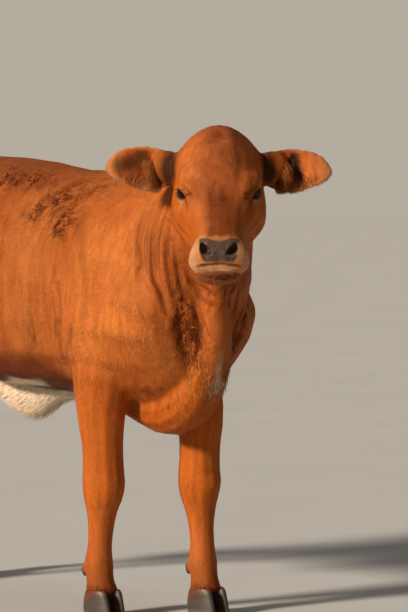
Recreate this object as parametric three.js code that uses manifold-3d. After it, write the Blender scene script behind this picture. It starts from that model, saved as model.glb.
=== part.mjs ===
// A red calf of about five months, standing with its head turned to its right.
// Millimetres. +X is forward along the body, +Y is the calf's left, +Z is up.
// The flesh is built whole, from closed bodies swept through sections, and parted by thin cuts.
// Eyes, claws and dewclaws are bodies of their own. All eight soles stand on one level.
import * as THREE from "three";
import { mergeVertices } from "three/addons/utils/BufferGeometryUtils.js";
import Module from "manifold-3d";

const wasm = await Module();
wasm.setup();

// ---- Driving sizes -------------------------------------------------------------------------------

const LEFT = 1;
const RIGHT = -1;
const GAP = 0.3; // between solids that touch

// The head's own frame has its middle between the eyes and its nose pointing level along x.
const HEAD_MIDDLE = new THREE.Vector3(381, -121, 972);
const HEAD_TURN = -40; // degrees to the left of the body's heading
const HEAD_PITCH = 42; // degrees that the nose points down
const EYE_RADIUS = 17.5;
const EYE_PLACE = new THREE.Vector3(2, 72, 3); // left eye, in the head's frame
const GAZE = new THREE.Vector3(0.55, 0.81, 0.22).normalize(); // of the left eye, in the head's frame

// Ears, in a frame at the head's middle that is turned with the head but not pitched.
const EAR_ROOT = new THREE.Vector3(-84, 88, 50);
const EAR_LENGTH = 164;
const EAR_WIDTH = 102;
const EAR_THICKNESS = 7;
const EAR_CUP = 27; // depth of the hollow
const EAR_SWEEP = 12; // degrees back from straight out
const EAR_LIFT = { [LEFT]: 0, [RIGHT]: 4 }; // degrees up from level

// Feet: x of each foot and distance from the midline.
const FORE_FOOT = { [LEFT]: 62, [RIGHT]: -62 };
const FORE_KNEE = { [LEFT]: 48, [RIGHT]: -46 };
const HIND_FOOT = { [LEFT]: -870, [RIGHT]: -800 };
const FORE_STANCE = 104;
const HIND_STANCE = 112;
const CORONET = 62; // height of the top of the hooves
const KNEE_CUT = 262; // height of the cut below the knee
const HOCK_CUT = 338; // height of the cut below the hock
const TAIL_ROOT = -912; // x of the cut between the rump and the tail
const SWITCH_TOP = 560; // height at which the tail's long hair starts

const COLOURS = { coat: 0xb4582c, horn: 0x3b332c, eye: 0x0e0b0a, tassel: 0x9a4a26 };

const vec = (x, y, z) => new THREE.Vector3(x, y, z);

// ---- Bodies swept through sections ---------------------------------------------------------------

/** A number raised to a power with its sign kept. */
const signedPower = (value, power) => Math.sign(value) * Math.abs(value) ** power;

/** A smooth curve through rows' vectors, with the same parameter whatever it carries. */
const through = (points) => new THREE.CatmullRomCurve3(points, false, "catmullrom", 0.5);

/**
 * A closed body through sections. A section runs from top to bottom and is half to each side of
 * that line. Pear above zero narrows its top, and square above zero fills its corners out.
 * Sections stand square to the way through them, or keep level where across is given.
 */
function sweep(sections, { sides = 20, rings = 24, across = null } = {}) {
  const tops = through(sections.map(({ top }) => top));
  const bottoms = through(sections.map(({ bottom }) => bottom));
  const shapes = through(sections.map(({ half, pear = 0, square = 0 }) => vec(half, pear, square)));
  const middle = (t) => tops.getPoint(t).add(bottoms.getPoint(t)).multiplyScalar(0.5);
  const geometry = new THREE.CylinderGeometry(1, 1, 1, sides, rings);
  const spots = geometry.attributes.position;
  for (let i = 0; i < spots.count; i++) {
    const run = 0.5 - spots.getY(i);
    const [x, z] = [spots.getX(i), spots.getZ(i)];
    const angle = Math.atan2(z, x);
    const reach = Math.round(Math.hypot(x, z));
    const rise = tops.getPoint(run).sub(bottoms.getPoint(run)).multiplyScalar(0.5);
    const shape = shapes.getPoint(run);
    const travel = middle(Math.min(run + 0.01, 1)).sub(middle(Math.max(run - 0.01, 0)));
    const side = across ?? rise.clone().cross(travel).normalize();
    const power = 1 / (1 + shape.z);
    const out = signedPower(Math.cos(angle), power) * (1 - shape.y * Math.sin(angle)) * shape.x;
    const along = signedPower(Math.sin(angle), power);
    const spot = middle(run).addScaledVector(side, out * reach).addScaledVector(rise, along * reach);
    spots.setXYZ(i, spot.x, spot.y, spot.z);
  }
  return geometry;
}

/** Sections of a body that runs along x, from rows of x, top, bottom, half width, pear, square. */
const uprightSections = (rows) =>
  rows.map(([x, top, bottom, half, pear, square]) => ({
    top: vec(x, 0, top),
    bottom: vec(x, 0, bottom),
    half,
    pear,
    square,
  }));

/**
 * A limb down z through level sections, from rows of z, front, back, distance out, half width.
 * Room makes it thicker all round.
 */
function limb(rows, side, { pear = 0, square = 0, sides = 11, rings = 20, room = 0 } = {}) {
  const sections = rows.map(([z, front, back, out, half]) => ({
    top: vec(front + room, side * out, z),
    bottom: vec(back - room, side * out, z),
    half: half + room,
    pear,
    square,
  }));
  return sweep(sections, { sides, rings, across: vec(0, 1, 0) });
}

/**
 * Raises or sinks a body's surface in soft rounds: muscles, bones under the skin and hollows.
 * Each row is where it is, how far it reaches each way and how far it pushes the surface.
 * Rows are for the left side; the right side has the same, mirrored.
 */
function swell(geometry, rows) {
  const spots = geometry.attributes.position;
  for (let i = 0; i < spots.count; i++) {
    const spot = vec(spots.getX(i), spots.getY(i), spots.getZ(i));
    const moved = spot.clone();
    for (const [[x, y, z], [rx, ry, rz], [px, py, pz]] of rows) {
      for (const side of y === 0 ? [LEFT] : [LEFT, RIGHT]) {
        const distance = Math.hypot((spot.x - x) / rx, (spot.y - side * y) / ry, (spot.z - z) / rz);
        moved.addScaledVector(vec(px, side * py, pz), Math.exp(-distance * distance));
      }
    }
    spots.setXYZ(i, moved.x, moved.y, moved.z);
  }
  return geometry;
}

/** An oval body: radii along its own axes, tipped nose-down by pitch degrees and turned left by turn. */
function oval([x, y, z], [rx, ry, rz], { pitch = 0, turn = 0, roll = 0, sides = 16, rings = 10 } = {}) {
  const { degToRad } = THREE.MathUtils;
  return new THREE.SphereGeometry(1, sides, rings)
    .scale(rx, ry, rz)
    .applyMatrix4(new THREE.Matrix4().makeRotationX(degToRad(roll)))
    .applyMatrix4(new THREE.Matrix4().makeRotationY(degToRad(pitch)))
    .applyMatrix4(new THREE.Matrix4().makeRotationZ(degToRad(turn)))
    .translate(x, y, z);
}

/** Turns a geometry into its mirror image across the midline. */
function mirrored(geometry) {
  const copy = geometry.clone().scale(1, -1, 1);
  const index = copy.index.array;
  for (let i = 0; i < index.length; i += 3) [index[i + 1], index[i + 2]] = [index[i + 2], index[i + 1]];
  return copy;
}

/** A three.js geometry as a solid. */
function solidFrom(geometry) {
  const bare = geometry.clone();
  for (const name of ["normal", "uv"]) bare.deleteAttribute(name);
  const merged = mergeVertices(bare, 1e-3);
  const mesh = new wasm.Mesh({
    numProp: 3,
    vertProperties: new Float32Array(merged.attributes.position.array),
    triVerts: new Uint32Array(merged.index.array),
  });
  return new wasm.Manifold(mesh);
}

const joined = (geometries) => geometries.map(solidFrom).reduce((whole, piece) => whole.add(piece));
const bothSides = (geometry) => [geometry, mirrored(geometry)];

/** The largest body of a solid, without the crumbs that a cut can leave. */
const largest = (solid) =>
  solid.decompose().reduce((best, body) => (body.volume() > best.volume() ? body : best));

/** Keeps what lies on the side of a plane that its normal points to, half a gap back from it. */
function beyond(solid, { point, normal }) {
  const unit = normal.clone().normalize();
  return largest(solid.trimByPlane(unit.toArray(), unit.dot(point) + GAP / 2));
}

const turnedRound = ({ point, normal }) => ({ point, normal: normal.clone().negate() });
const before = (solid, plane) => beyond(solid, turnedRound(plane));

// ---- Trunk -----------------------------------------------------------------------------------------

// x, top line, floor, half width, pear, square
const TRUNK = [
  [222, 730, 592, 36, 0, 0],
  [200, 800, 545, 84, 0, 0],
  [152, 900, 505, 126, 0.1, 0],
  [80, 975, 482, 145, 0.2, 0],
  [0, 1008, 482, 156, 0.3, 0],
  [-120, 1020, 494, 172, 0.32, 0.05],
  [-250, 1032, 500, 192, 0.26, 0.1],
  [-390, 1052, 503, 204, 0.2, 0.14],
  [-520, 1062, 514, 198, 0.14, 0.16],
  [-640, 1066, 556, 176, 0.06, 0.2],
  [-740, 1064, 618, 158, 0.02, 0.2],
  [-820, 1052, 660, 138, 0, 0.14],
  [-878, 1016, 720, 104, 0, 0.06],
  [-902, 960, 780, 56, 0, 0],
];
const trunkBody = swell(sweep(uprightSections(TRUNK), { sides: 20, rings: 22 }), [
  [[-110, 0, 1020], [90, 40, 40], [0, 0, 7]], // withers
  [[-40, 118, 870], [110, 70, 150], [0, 20, 0]], // blade
  [[128, 128, 696], [84, 76, 96], [28, 48, 0]], // point of the shoulder
  [[-24, 150, 628], [92, 74, 84], [0, 26, 0]], // muscle above the elbow
  [[-168, 170, 640], [60, 80, 120], [0, -12, 0]], // hollow behind the elbow
  [[-530, 165, 950], [80, 70, 70], [0, -14, -3]], // hollow of the flank
  [[-610, 132, 990], [76, 66, 62], [0, 20, 8]], // hook of the hip
  [[-744, 140, 930], [90, 70, 70], [0, 10, 0]], // thurl
  [[-884, 66, 950], [44, 48, 50], [-14, 12, 0]], // pin bone
  [[-880, 0, 1015], [54, 40, 36], [-10, 0, 10]], // tail head
]);

/** The slack skin under the navel: x, top, bottom, half width. */
const navelFold = sweep(
  uprightSections([
    [-664, 600, 556, 14],
    [-612, 562, 500, 21],
    [-560, 542, 470, 27],
    [-505, 536, 446, 30],
    [-448, 534, 430, 30],
    [-402, 534, 442, 30],
    [-350, 536, 469, 32],
    [-290, 540, 483, 36],
    [-210, 545, 488, 38],
    [-120, 548, 502, 30],
  ]),
  { sides: 10, rings: 12 },
);

/** Dewlap and brisket: a fold of skin and fat from the throat to between the forelegs. */
const brisket = sweep(
  [
    [vec(262, -34, 862), vec(296, -54, 850), 18],
    [vec(244, -24, 790), vec(300, -50, 776), 24],
    [vec(222, -12, 710), vec(290, -26, 690), 32],
    [vec(188, -2, 640), vec(268, -8, 606), 42],
    [vec(150, 0, 590), vec(238, 0, 540), 54],
    [vec(112, 0, 560), vec(192, 0, 470), 61],
    [vec(72, 0, 545), vec(122, 0, 425), 61],
    [vec(15, 0, 540), vec(42, 0, 420), 58],
    [vec(-60, 0, 545), vec(-50, 0, 450), 56],
    [vec(-160, 0, 550), vec(-160, 0, 484), 52],
  ].map(([top, bottom, half]) => ({ top, bottom, half, square: 0.1 })),
  { sides: 12, rings: 13 },
);

// ---- Neck ------------------------------------------------------------------------------------------

const neckBody = sweep(
  [
    { top: vec(306, -74, 1062), bottom: vec(318, -84, 925), half: 66 },
    { top: vec(270, -46, 1080), bottom: vec(292, -50, 862), half: 84, pear: 0.06 },
    { top: vec(195, -16, 1060), bottom: vec(270, -24, 772), half: 101, pear: 0.1 },
    { top: vec(90, 0, 1037), bottom: vec(246, -6, 676), half: 120, pear: 0.18 },
    { top: vec(-10, 0, 1020), bottom: vec(205, 0, 590), half: 138, pear: 0.22 },
    { top: vec(-110, 0, 1012), bottom: vec(120, 0, 560), half: 148, pear: 0.28 },
  ],
  { sides: 18, rings: 10 },
);

// ---- Head, level in its own frame ------------------------------------------------------------------

// x, top line, lower line, half width, pear, square
const HEAD = [
  [-182, 14, -52, 42, 0, 0],
  [-168, 42, -80, 72, 0.1, 0.06],
  [-138, 57, -102, 86, 0.14, 0.06],
  [-98, 63, -118, 93, 0.12, 0.1],
  [-50, 60, -128, 95, 0.04, 0.18],
  [-4, 50, -129, 91, 0, 0.2],
  [38, 42, -126, 84, 0.06, 0.2],
  [80, 37, -115, 71, 0.12, 0.2],
  [120, 34, -101, 60, 0.12, 0.2],
  [152, 31, -89, 55, 0.08, 0.26],
  [175, 28, -81, 56, 0.04, 0.34],
  [192, 19, -81, 56, 0.04, 0.34],
  [205, 2, -76, 50, 0.04, 0.3],
  [213, -16, -64, 36, 0, 0.2],
  [216, -30, -50, 18, 0, 0],
];
const headBody = swell(sweep(uprightSections(HEAD), { sides: 20, rings: 25 }), [
  [[-150, 0, 56], [44, 62, 40], [-4, 0, 8]], // poll
  [[-50, 0, 60], [52, 62, 40], [0, 0, 5]], // forehead
  [[56, 0, 40], [44, 50, 34], [0, 0, -4]], // dish of the face
  [[-116, 88, 22], [40, 36, 30], [0, 12, 0]], // temple above the ear
  [[-10, 84, 24], [36, 26, 18], [0, 15, 3]], // brow
  [[8, 84, -22], [34, 28, 15], [0, 9, 0]], // rim under the eye
  [[10, 84, 2], [17, 28, 11], [0, -11, 0]], // slot of the eye
  [[14, 84, -70], [70, 44, 52], [0, 16, 0]], // cheek muscle
  [[112, 56, -26], [34, 30, 26], [0, -6, 0]], // hollow before the cheek
  [[188, 46, 2], [24, 26, 22], [2, 8, 3]], // wing of the nostril
  [[184, 54, -36], [28, 30, 22], [3, 11, -2]], // upper lip
  [[206, 0, -64], [24, 34, 18], [4, 0, -5]], // chin
  [[-94, 90, -12], [36, 34, 34], [0, 12, 0]], // root of the ear
]);
const nostrils = bothSides(
  oval([200, 30, 13], [15, 7.5, 11], { pitch: -44, turn: -22, sides: 10, rings: 6 }),
);

const headTurn = new THREE.Matrix4().makeRotationZ(THREE.MathUtils.degToRad(HEAD_TURN));
const upperFrame = headTurn.clone().setPosition(HEAD_MIDDLE);
const headFrame = upperFrame
  .clone()
  .multiply(new THREE.Matrix4().makeRotationY(THREE.MathUtils.degToRad(HEAD_PITCH)));
const onHead = (geometry) => geometry.clone().applyMatrix4(headFrame);

// ---- Legs ------------------------------------------------------------------------------------------

/** Foreleg from the elbow to the coronet. */
function foreLeg(side, room = 0) {
  const knee = FORE_KNEE[side];
  const foot = FORE_FOOT[side];
  const elbow = knee * 0.45 - 18; // x of the leg's middle where it leaves the chest
  // height, middle, reach forward, reach back, distance out, half width
  const rows = [
    [640, elbow - 8, 92, 100, 108, 60],
    [575, elbow - 2, 88, 92, 110, 64],
    [520, (elbow + knee) / 2 - 4, 76, 76, 110, 60],
    [455, knee - 4, 61, 62, 108, 54],
    [390, knee - 1, 50, 52, 106, 48],
    [345, knee, 50, 53, FORE_STANCE, 47],
    [306, knee + 1, 52, 56, FORE_STANCE, 49],
    [272, knee, 46, 51, FORE_STANCE, 44],
    [238, THREE.MathUtils.lerp(knee, foot, 0.3), 34, 40, FORE_STANCE, 35],
    [196, THREE.MathUtils.lerp(knee, foot, 0.6), 28, 33, FORE_STANCE, 29],
    [156, THREE.MathUtils.lerp(knee, foot, 0.85), 28, 33, FORE_STANCE, 28],
    [122, foot - 2, 32, 39, FORE_STANCE, 33],
    [92, foot, 35, 33, FORE_STANCE, 31],
    [CORONET, foot + 6, 38, 36, FORE_STANCE, 36],
  ];
  return limb(
    rows.map(([z, middle, ahead, behind, out, half]) => [z, middle + ahead, middle - behind, out, half]),
    side,
    { room },
  );
}

/** Hind leg from the thigh to the coronet. Its lower half follows the foot. */
function hindLeg(side, room = 0) {
  const foot = HIND_FOOT[side];
  // height, front, back, distance out, half width; from the hock down, x is measured from the foot
  const thigh = [
    [1010, -640, -830, 66, 50],
    [940, -585, -884, 84, 78],
    [850, -550, -904, 94, 90],
    [760, -538, -902, 99, 88],
    [690, -542, -884, 104, 80],
  ];
  const shin = [
    [635, -566, -862, 107, 70],
    [580, -606, -846, 110, 60],
    [530, -656, -838, 112, 50],
    [486, -704, -848, 112, 41],
  ].map(([z, front, back, out, half], i) => [
    z,
    front + (foot + 835) * (0.35 + i * 0.18),
    back + (foot + 835) * (0.2 + i * 0.22),
    out,
    half,
  ]);
  const below = [
    [450, 62, -54, 112, 34],
    [424, 42, -70, 112, 32],
    [398, 31, -68, 112, 34],
    [366, 22, -56, 112, 35],
    [326, 12, -44, 112, 30],
    [270, 6, -39, 112, 26],
    [205, 4, -38, 112, 26],
    [156, 6, -40, 112, 29],
    [122, 14, -48, 112, 34],
    [92, 24, -36, 112, 31],
    [CORONET, 42, -31, 112, 36],
  ].map(([z, front, back, out, half]) => [z, foot + front, foot + back, out, half]);
  return limb([...thigh, ...shin, ...below], side, { rings: 24, room });
}

// ---- Tail ------------------------------------------------------------------------------------------

// x, z and half thickness down the tail, then down its tassel
const TAIL = [
  [-846, 1004, 30],
  [-888, 1000, 29],
  [-921, 974, 25],
  [-937, 926, 21],
  [-941, 850, 17],
  [-940, 740, 14],
  [-938, 630, 12.5],
  [-937, 545, 13],
];
const TASSEL = [
  [-937, 585, 13],
  [-937, 545, 20],
  [-938, 480, 29],
  [-940, 405, 31],
  [-941, 345, 22],
  [-941, 300, 5],
];

/** A round cord of flesh in the midline plane. */
function tailSweep(rows, rings) {
  const spots = rows.map(([x, z]) => vec(x, 0, z));
  const curve = through(spots);
  const sections = rows.map(([, , half], i) => {
    const way = curve.getTangent(i / (rows.length - 1));
    const back = vec(way.z, 0, -way.x).multiplyScalar(half);
    return { top: spots[i].clone().add(back), bottom: spots[i].clone().sub(back), half };
  });
  return sweep(sections, { sides: 8, rings });
}

// ---- Ears ------------------------------------------------------------------------------------------

/** Half width of the ear along its length, as a share of the widest. */
const EAR_OUTLINE = [0.5, 0.74, 0.92, 1, 0.99, 0.92, 0.78, 0.56];
const EAR_TIP = 0.8; // share of the length where the tip starts to round off

/** The left ear, hollow towards +x, growing along +y from a rolled root. */
function earShape() {
  const outline = through(EAR_OUTLINE.map((share) => vec(share, 0, 0)));
  const geometry = new THREE.SphereGeometry(1, 14, 12);
  const spots = geometry.attributes.position;
  for (let i = 0; i < spots.count; i++) {
    const [x, y, z] = [spots.getX(i), spots.getY(i), spots.getZ(i)];
    const run = (y + 1) / 2; // 0 at the root, 1 at the tip
    const ring = Math.sqrt(Math.max(1 - y * y, 1e-9));
    const round = Math.sqrt(1 - (Math.max(run - EAR_TIP, 0) / (1 - EAR_TIP)) ** 2);
    const root = run > 0.5 ? 1 : Math.min(1, ring * 2.2);
    const half = 0.5 * EAR_WIDTH * outline.getPoint(run).x * round * root;
    const across = (z / ring) * half;
    const skin = (x / ring) * EAR_THICKNESS * (0.5 + 1.2 * (1 - run) ** 3) * Math.min(1, ring * 3);
    const roll = Math.sin(Math.PI * Math.min(run + 0.22, 1) ** 1.1);
    const hollow = EAR_CUP * roll * (1 - (across / (half || 1)) ** 2);
    const droop = -16 * run * run;
    spots.setXYZ(i, skin - hollow + 14 * run * run, run * EAR_LENGTH, across + droop * 0.4);
  }
  return geometry;
}

/** An ear in its place on the head. */
function ear(side) {
  const { degToRad } = THREE.MathUtils;
  const tilt = new THREE.Euler(degToRad(EAR_LIFT[side]), degToRad(-6), degToRad(EAR_SWEEP), "ZYX");
  const place = new THREE.Matrix4().makeRotationFromEuler(tilt).setPosition(EAR_ROOT);
  const left = earShape().applyMatrix4(place);
  return (side === LEFT ? left : mirrored(left)).applyMatrix4(upperFrame);
}

// ---- Eyes, claws and dewclaws ----------------------------------------------------------------------

/** An eyeball, or the socket that it sits in when it is made larger by the gap. */
function eyeball(side, radius) {
  const ball = new THREE.SphereGeometry(radius, 11, 8).translate(EYE_PLACE.x, side * EYE_PLACE.y, EYE_PLACE.z);
  return onHead(ball);
}

/** What the parted lids leave open in front of an eyeball. */
function lidOpening(side) {
  const dish = new THREE.SphereGeometry(1, 9, 6).scale(9, 15, 11.5);
  const turn = new THREE.Quaternion().setFromUnitVectors(vec(1, 0, 0), vec(GAZE.x, side * GAZE.y, GAZE.z));
  const middle = EYE_PLACE.clone().addScaledVector(GAZE, 16);
  return onHead(dish.applyQuaternion(turn).translate(middle.x, side * middle.y, middle.z));
}

/** One of a foot's two claws: flat below, pointed in front and straight up to the coronet behind. */
function claw(foot, out, side, which) {
  // height, toe, heel, half width
  const rows = [
    [CORONET - 2 * GAP, 43, -28, 15.5],
    [44, 51, -31, 16.2],
    [24, 60, -33, 17.2],
    [6, 66, -33, 18],
    [0, 66, -32, 17.6],
  ].map(([z, toe, heel, half]) => [z, foot + toe, foot + heel, out + which * (half * 1.12 + 0.6), half]);
  return limb(rows, side, { pear: 0.14, square: 0.12, sides: 10, rings: 4 });
}

/** One of the two small claws at the back of a fetlock. */
function dewclaw(heel, side, out, which) {
  return oval([heel, side * (out + which * 17), 104], [14, 9, 17], { pitch: 28, sides: 6, rings: 3 });
}

// ---- Assembly --------------------------------------------------------------------------------------

const animal = new THREE.Group();
const materials = Object.fromEntries(
  Object.entries(COLOURS).map(([name, color]) => [
    name,
    new THREE.MeshStandardMaterial({ color, roughness: name === "eye" ? 0.1 : 0.75, metalness: 0 }),
  ]),
);

/** Adds a solid to the animal as a named mesh. */
function add(name, solid, material) {
  const { numProp, numVert, vertProperties, triVerts } = solid.getMesh();
  const positions = new Float32Array(numVert * 3);
  for (let i = 0; i < numVert; i++) {
    positions.set(vertProperties.subarray(i * numProp, i * numProp + 3), i * 3);
  }
  const geometry = new THREE.BufferGeometry()
    .setAttribute("position", new THREE.BufferAttribute(positions, 3))
    .setIndex(new THREE.BufferAttribute(new Uint32Array(triVerts), 1));
  geometry.computeVertexNormals();
  const mesh = new THREE.Mesh(geometry, materials[material]);
  mesh.name = name;
  animal.add(mesh);
  return mesh;
}

const SIDES = [
  { side: LEFT, word: "left" },
  { side: RIGHT, word: "right" },
];

const headCut = { point: vec(285, -48, 960), normal: vec(0.82, -0.5, 0.28) }; // behind the jaw
const neckCut = { point: vec(120, 0, 830), normal: vec(0.83, -0.05, 0.55) }; // withers to breast
const tailCut = { point: vec(TAIL_ROOT, 0, 0), normal: vec(1, 0, 0) };
const elbowCut = (side) => ({ point: vec(0, side * 110, 548), normal: vec(0.05, side * 0.3, -0.95) });
const stifleCut = (side) => ({ point: vec(-700, side * 110, 628), normal: vec(-0.2, side * 0.3, -0.93) });
const level = (z) => ({ point: vec(0, 0, z), normal: vec(0, 0, -1) });

const limbs = SIDES.flatMap(({ side, word }) => [
  { name: `foreleg_%_${word}`, side, shape: foreLeg, top: elbowCut(side), joint: KNEE_CUT },
  { name: `hindleg_%_${word}`, side, shape: hindLeg, top: stifleCut(side), joint: HOCK_CUT },
]);
const tail = solidFrom(tailSweep(TAIL, 16));
const sockets = joined(
  SIDES.flatMap(({ side }) => [eyeball(side, EYE_RADIUS + GAP), lidOpening(side)]),
);
const flesh = limbs
  .map(({ shape, side, top }) => before(solidFrom(shape(side)), top))
  .reduce((body, shoulderOrThigh) => body.add(shoulderOrThigh), tail)
  .add(joined([trunkBody, navelFold, neckBody, brisket, onHead(headBody)]))
  .subtract(joined(nostrils.map(onHead)))
  .subtract(sockets);

add("head", beyond(flesh, headCut), "coat");
const behindHead = before(flesh, headCut);
add("neck", beyond(behindHead, neckCut), "coat");
add("trunk", beyond(before(behindHead, neckCut), tailCut), "coat");

for (const { name, side, shape, top, joint } of limbs) {
  const leg = largest(beyond(solidFrom(shape(side)), top).subtract(flesh));
  const clear = vec(0, side * GAP, -GAP); // keeps the leg off the trunk
  add(name.replace("%", "upper"), before(leg, level(joint)), "coat").position.copy(clear);
  add(name.replace("%", "lower"), beyond(leg, level(joint)), "coat").position.copy(clear);
}

const earRoom = solidFrom(onHead(headBody.clone().scale(1.006, 1.006, 1.006))); // the head and a gap
const tailBehind = before(tail, tailCut);
add("tail", before(tailBehind, level(SWITCH_TOP)), "coat");
add("tail_switch", beyond(solidFrom(tailSweep(TASSEL, 10)).add(tailBehind), level(SWITCH_TOP)), "tassel");

for (const { side, word } of SIDES) {
  add(`ear_${word}`, largest(solidFrom(ear(side)).subtract(earRoom)), "coat");
  add(`eye_${word}`, solidFrom(eyeball(side, EYE_RADIUS)), "eye");
  const feet = [
    { end: "fore", foot: FORE_FOOT[side], heel: 31, out: FORE_STANCE, leg: foreLeg },
    { end: "hind", foot: HIND_FOOT[side], heel: 37, out: HIND_STANCE, leg: hindLeg },
  ];
  for (const { end, foot, heel, out, leg } of feet) {
    const fetlock = solidFrom(leg(side, 2 * GAP));
    for (const [place, which] of [["outer", 1], ["inner", -1]]) {
      add(`${end}_claw_${place}_${word}`, solidFrom(claw(foot, out, side, which)), "horn");
      const spur = solidFrom(dewclaw(foot - heel, side, out, which)).subtract(fetlock);
      add(`${end}_dewclaw_${place}_${word}`, largest(spur), "horn");
    }
  }
}

// The origin is on the floor under the middle of the whole animal's box.
const bounds = new THREE.Box3().setFromObject(animal);
animal.position.set(-(bounds.min.x + bounds.max.x) / 2, -(bounds.min.y + bounds.max.y) / 2, -bounds.min.z);

export default animal;
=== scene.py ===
"""A still, life-size red calf: one hide over the whole body, a coat of solid tufts, eyes, hooves, tail."""

import logging
import math
from collections.abc import Callable, Iterator
from dataclasses import dataclass, field
from enum import Enum

import bmesh
import bpy
import numpy as np
from mathutils import Matrix, Vector


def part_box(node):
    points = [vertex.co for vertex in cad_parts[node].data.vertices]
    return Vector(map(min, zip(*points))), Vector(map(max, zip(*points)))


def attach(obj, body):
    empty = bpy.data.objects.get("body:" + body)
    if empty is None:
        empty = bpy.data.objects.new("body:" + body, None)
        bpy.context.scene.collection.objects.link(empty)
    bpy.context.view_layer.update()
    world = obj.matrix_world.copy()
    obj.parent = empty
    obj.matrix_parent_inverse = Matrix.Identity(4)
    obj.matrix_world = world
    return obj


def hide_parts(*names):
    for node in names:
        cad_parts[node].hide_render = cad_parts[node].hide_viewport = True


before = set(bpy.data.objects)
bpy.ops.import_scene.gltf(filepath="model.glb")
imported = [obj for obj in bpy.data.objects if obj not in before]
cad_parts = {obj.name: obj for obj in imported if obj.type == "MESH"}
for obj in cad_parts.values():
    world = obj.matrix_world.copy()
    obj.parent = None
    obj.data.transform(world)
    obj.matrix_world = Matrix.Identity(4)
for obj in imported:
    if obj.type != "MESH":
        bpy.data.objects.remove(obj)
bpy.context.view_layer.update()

Array = np.ndarray
Point = tuple[float, float, float]
Path = tuple[Point, ...]
Spot = tuple[float, float]
Marks = tuple[tuple[Point, Point, float], ...]  # soft spots: middle, reach, strength
Socket = bpy.types.NodeSocket
MM = 0.001
SEED = 20
log = logging.getLogger("calf")


class Side(Enum):
    """The calf's own sides. The value is the sign of y in its frames."""

    LEFT = 1
    RIGHT = -1

    @property
    def word(self) -> str:
        """The side as the nodes' names spell it."""
        return self.name.lower()


# ---- Small numeric tools ---------------------------------------------------------------------------


def unit(vectors: Array) -> Array:
    """Vectors of length one, along the last axis."""
    return vectors / np.maximum(np.linalg.norm(vectors, axis=-1, keepdims=True), 1e-12)


def step(low: float, high: float, values: Array) -> Array:
    """A smooth step from 0 at low to 1 at high, which may be the smaller of the two."""
    t = np.clip((values - low) / (high - low), 0, 1)
    return t * t * (3 - 2 * t)


def blob(points: Array, at: Point, reach: Point) -> Array:
    """A soft round weight.

    Args:
        points: where it is wanted, in metres.
        at: its middle, in millimetres.
        reach: how far it goes each way, in millimetres.

    Returns:
        One at the middle, falling off as a bell.
    """
    offset = (points - np.array(at) * MM) / (np.array(reach) * MM)
    return np.exp(-np.sum(offset * offset, axis=1))


def waves(points: Array, length: Point, seed: int, count: int = 7) -> Array:
    """A smooth uneven pattern with no repeat, from a few crossing waves.

    Args:
        points: where it is wanted, in metres.
        length: typical wavelength along each axis, in millimetres.
        seed: picks the pattern.
        count: how many waves cross.

    Returns:
        Values of about -1 to 1.
    """
    rng = np.random.default_rng(seed)
    ways = unit(rng.normal(size=(count, 3))) * rng.uniform(0.7, 1.5, (count, 1))
    phases = rng.uniform(0, 2 * math.pi, count)
    scaled = points / (np.array(length) * MM) * 2 * math.pi
    return np.sin(scaled @ ways.T + phases).sum(axis=1) / math.sqrt(count)


def curve_through(knots: Array, count: int) -> Array:
    """Evenly numbered points of a smooth curve through knots."""
    padded = np.vstack([2 * knots[0] - knots[1], knots, 2 * knots[-1] - knots[-2]])
    where = np.linspace(0, len(knots) - 1, count)
    first = np.minimum(where.astype(int), len(knots) - 2)
    t = (where - first)[:, None]
    a, b, c, d = (padded[first + k] for k in range(4))
    bend = (2 * a - 5 * b + 4 * c - d) * t**2 + (3 * b - a - 3 * c + d) * t**3
    return 0.5 * (2 * b + (c - a) * t + bend)


def near_path(points: Array, path: Array) -> tuple[Array, Array]:
    """Each point's distance to a path, and how far along the path that is, from 0 to 1."""
    nearest = np.full(len(points), np.inf)
    along = np.zeros(len(points))
    for i, (start, end) in enumerate(zip(path, path[1:])):
        run = end - start
        t = np.clip((points - start) @ run / max(run @ run, 1e-12), 0, 1)
        away = np.linalg.norm(points - start - t[:, None] * run, axis=1)
        closer = away < nearest
        nearest[closer] = away[closer]
        along[closer] = (i + t[closer]) / (len(path) - 1)
    return nearest, along


def mix(below: Array, above: Array, share: Array) -> Array:
    """Rows of below turned into above by a share for each row."""
    return below + (np.asarray(above) - below) * share[:, None]


def plain(colour: Array, count: int) -> Array:
    """One colour for each of many places."""
    return np.repeat(colour[None], count, axis=0)


def to_right(points: Array) -> Array:
    """Points of either side of the animal, all taken to its right."""
    return np.column_stack([points[:, 0], -np.abs(points[:, 1]), points[:, 2]])


def rotation(axis: str, degrees: float) -> Array:
    """A turn about one axis, as a matrix for columns."""
    return np.array(Matrix.Rotation(math.radians(degrees), 3, axis))


# ---- Mesh tools --------------------------------------------------------------------------------------


def points_of(mesh: bpy.types.Mesh) -> Array:
    """A mesh's vertices, one row each."""
    found = np.empty(len(mesh.vertices) * 3, np.float32)
    mesh.vertices.foreach_get("co", found)
    return found.reshape(-1, 3).astype(float)


def normals_of(mesh: bpy.types.Mesh) -> Array:
    """A mesh's vertex normals, one row each."""
    found = np.empty(len(mesh.vertices) * 3, np.float32)
    mesh.vertex_normals.foreach_get("vector", found)
    return found.reshape(-1, 3).astype(float)


def triangles_of(mesh: bpy.types.Mesh) -> Array:
    """The vertex numbers of a mesh of triangles, one row each."""
    found = np.empty(len(mesh.loops), np.int32)
    mesh.loops.foreach_get("vertex_index", found)
    return found.reshape(-1, 3)


def move_points(mesh: bpy.types.Mesh, points: Array) -> None:
    """Puts a mesh's vertices at new places."""
    mesh.vertices.foreach_set("co", points.astype(np.float32).ravel())
    mesh.update()


def mesh_of(work: bmesh.types.BMesh, name: str) -> bpy.types.Mesh:
    """A bmesh made a mesh, and freed."""
    mesh = bpy.data.meshes.new(name)
    work.to_mesh(mesh)
    work.free()
    return mesh


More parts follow.
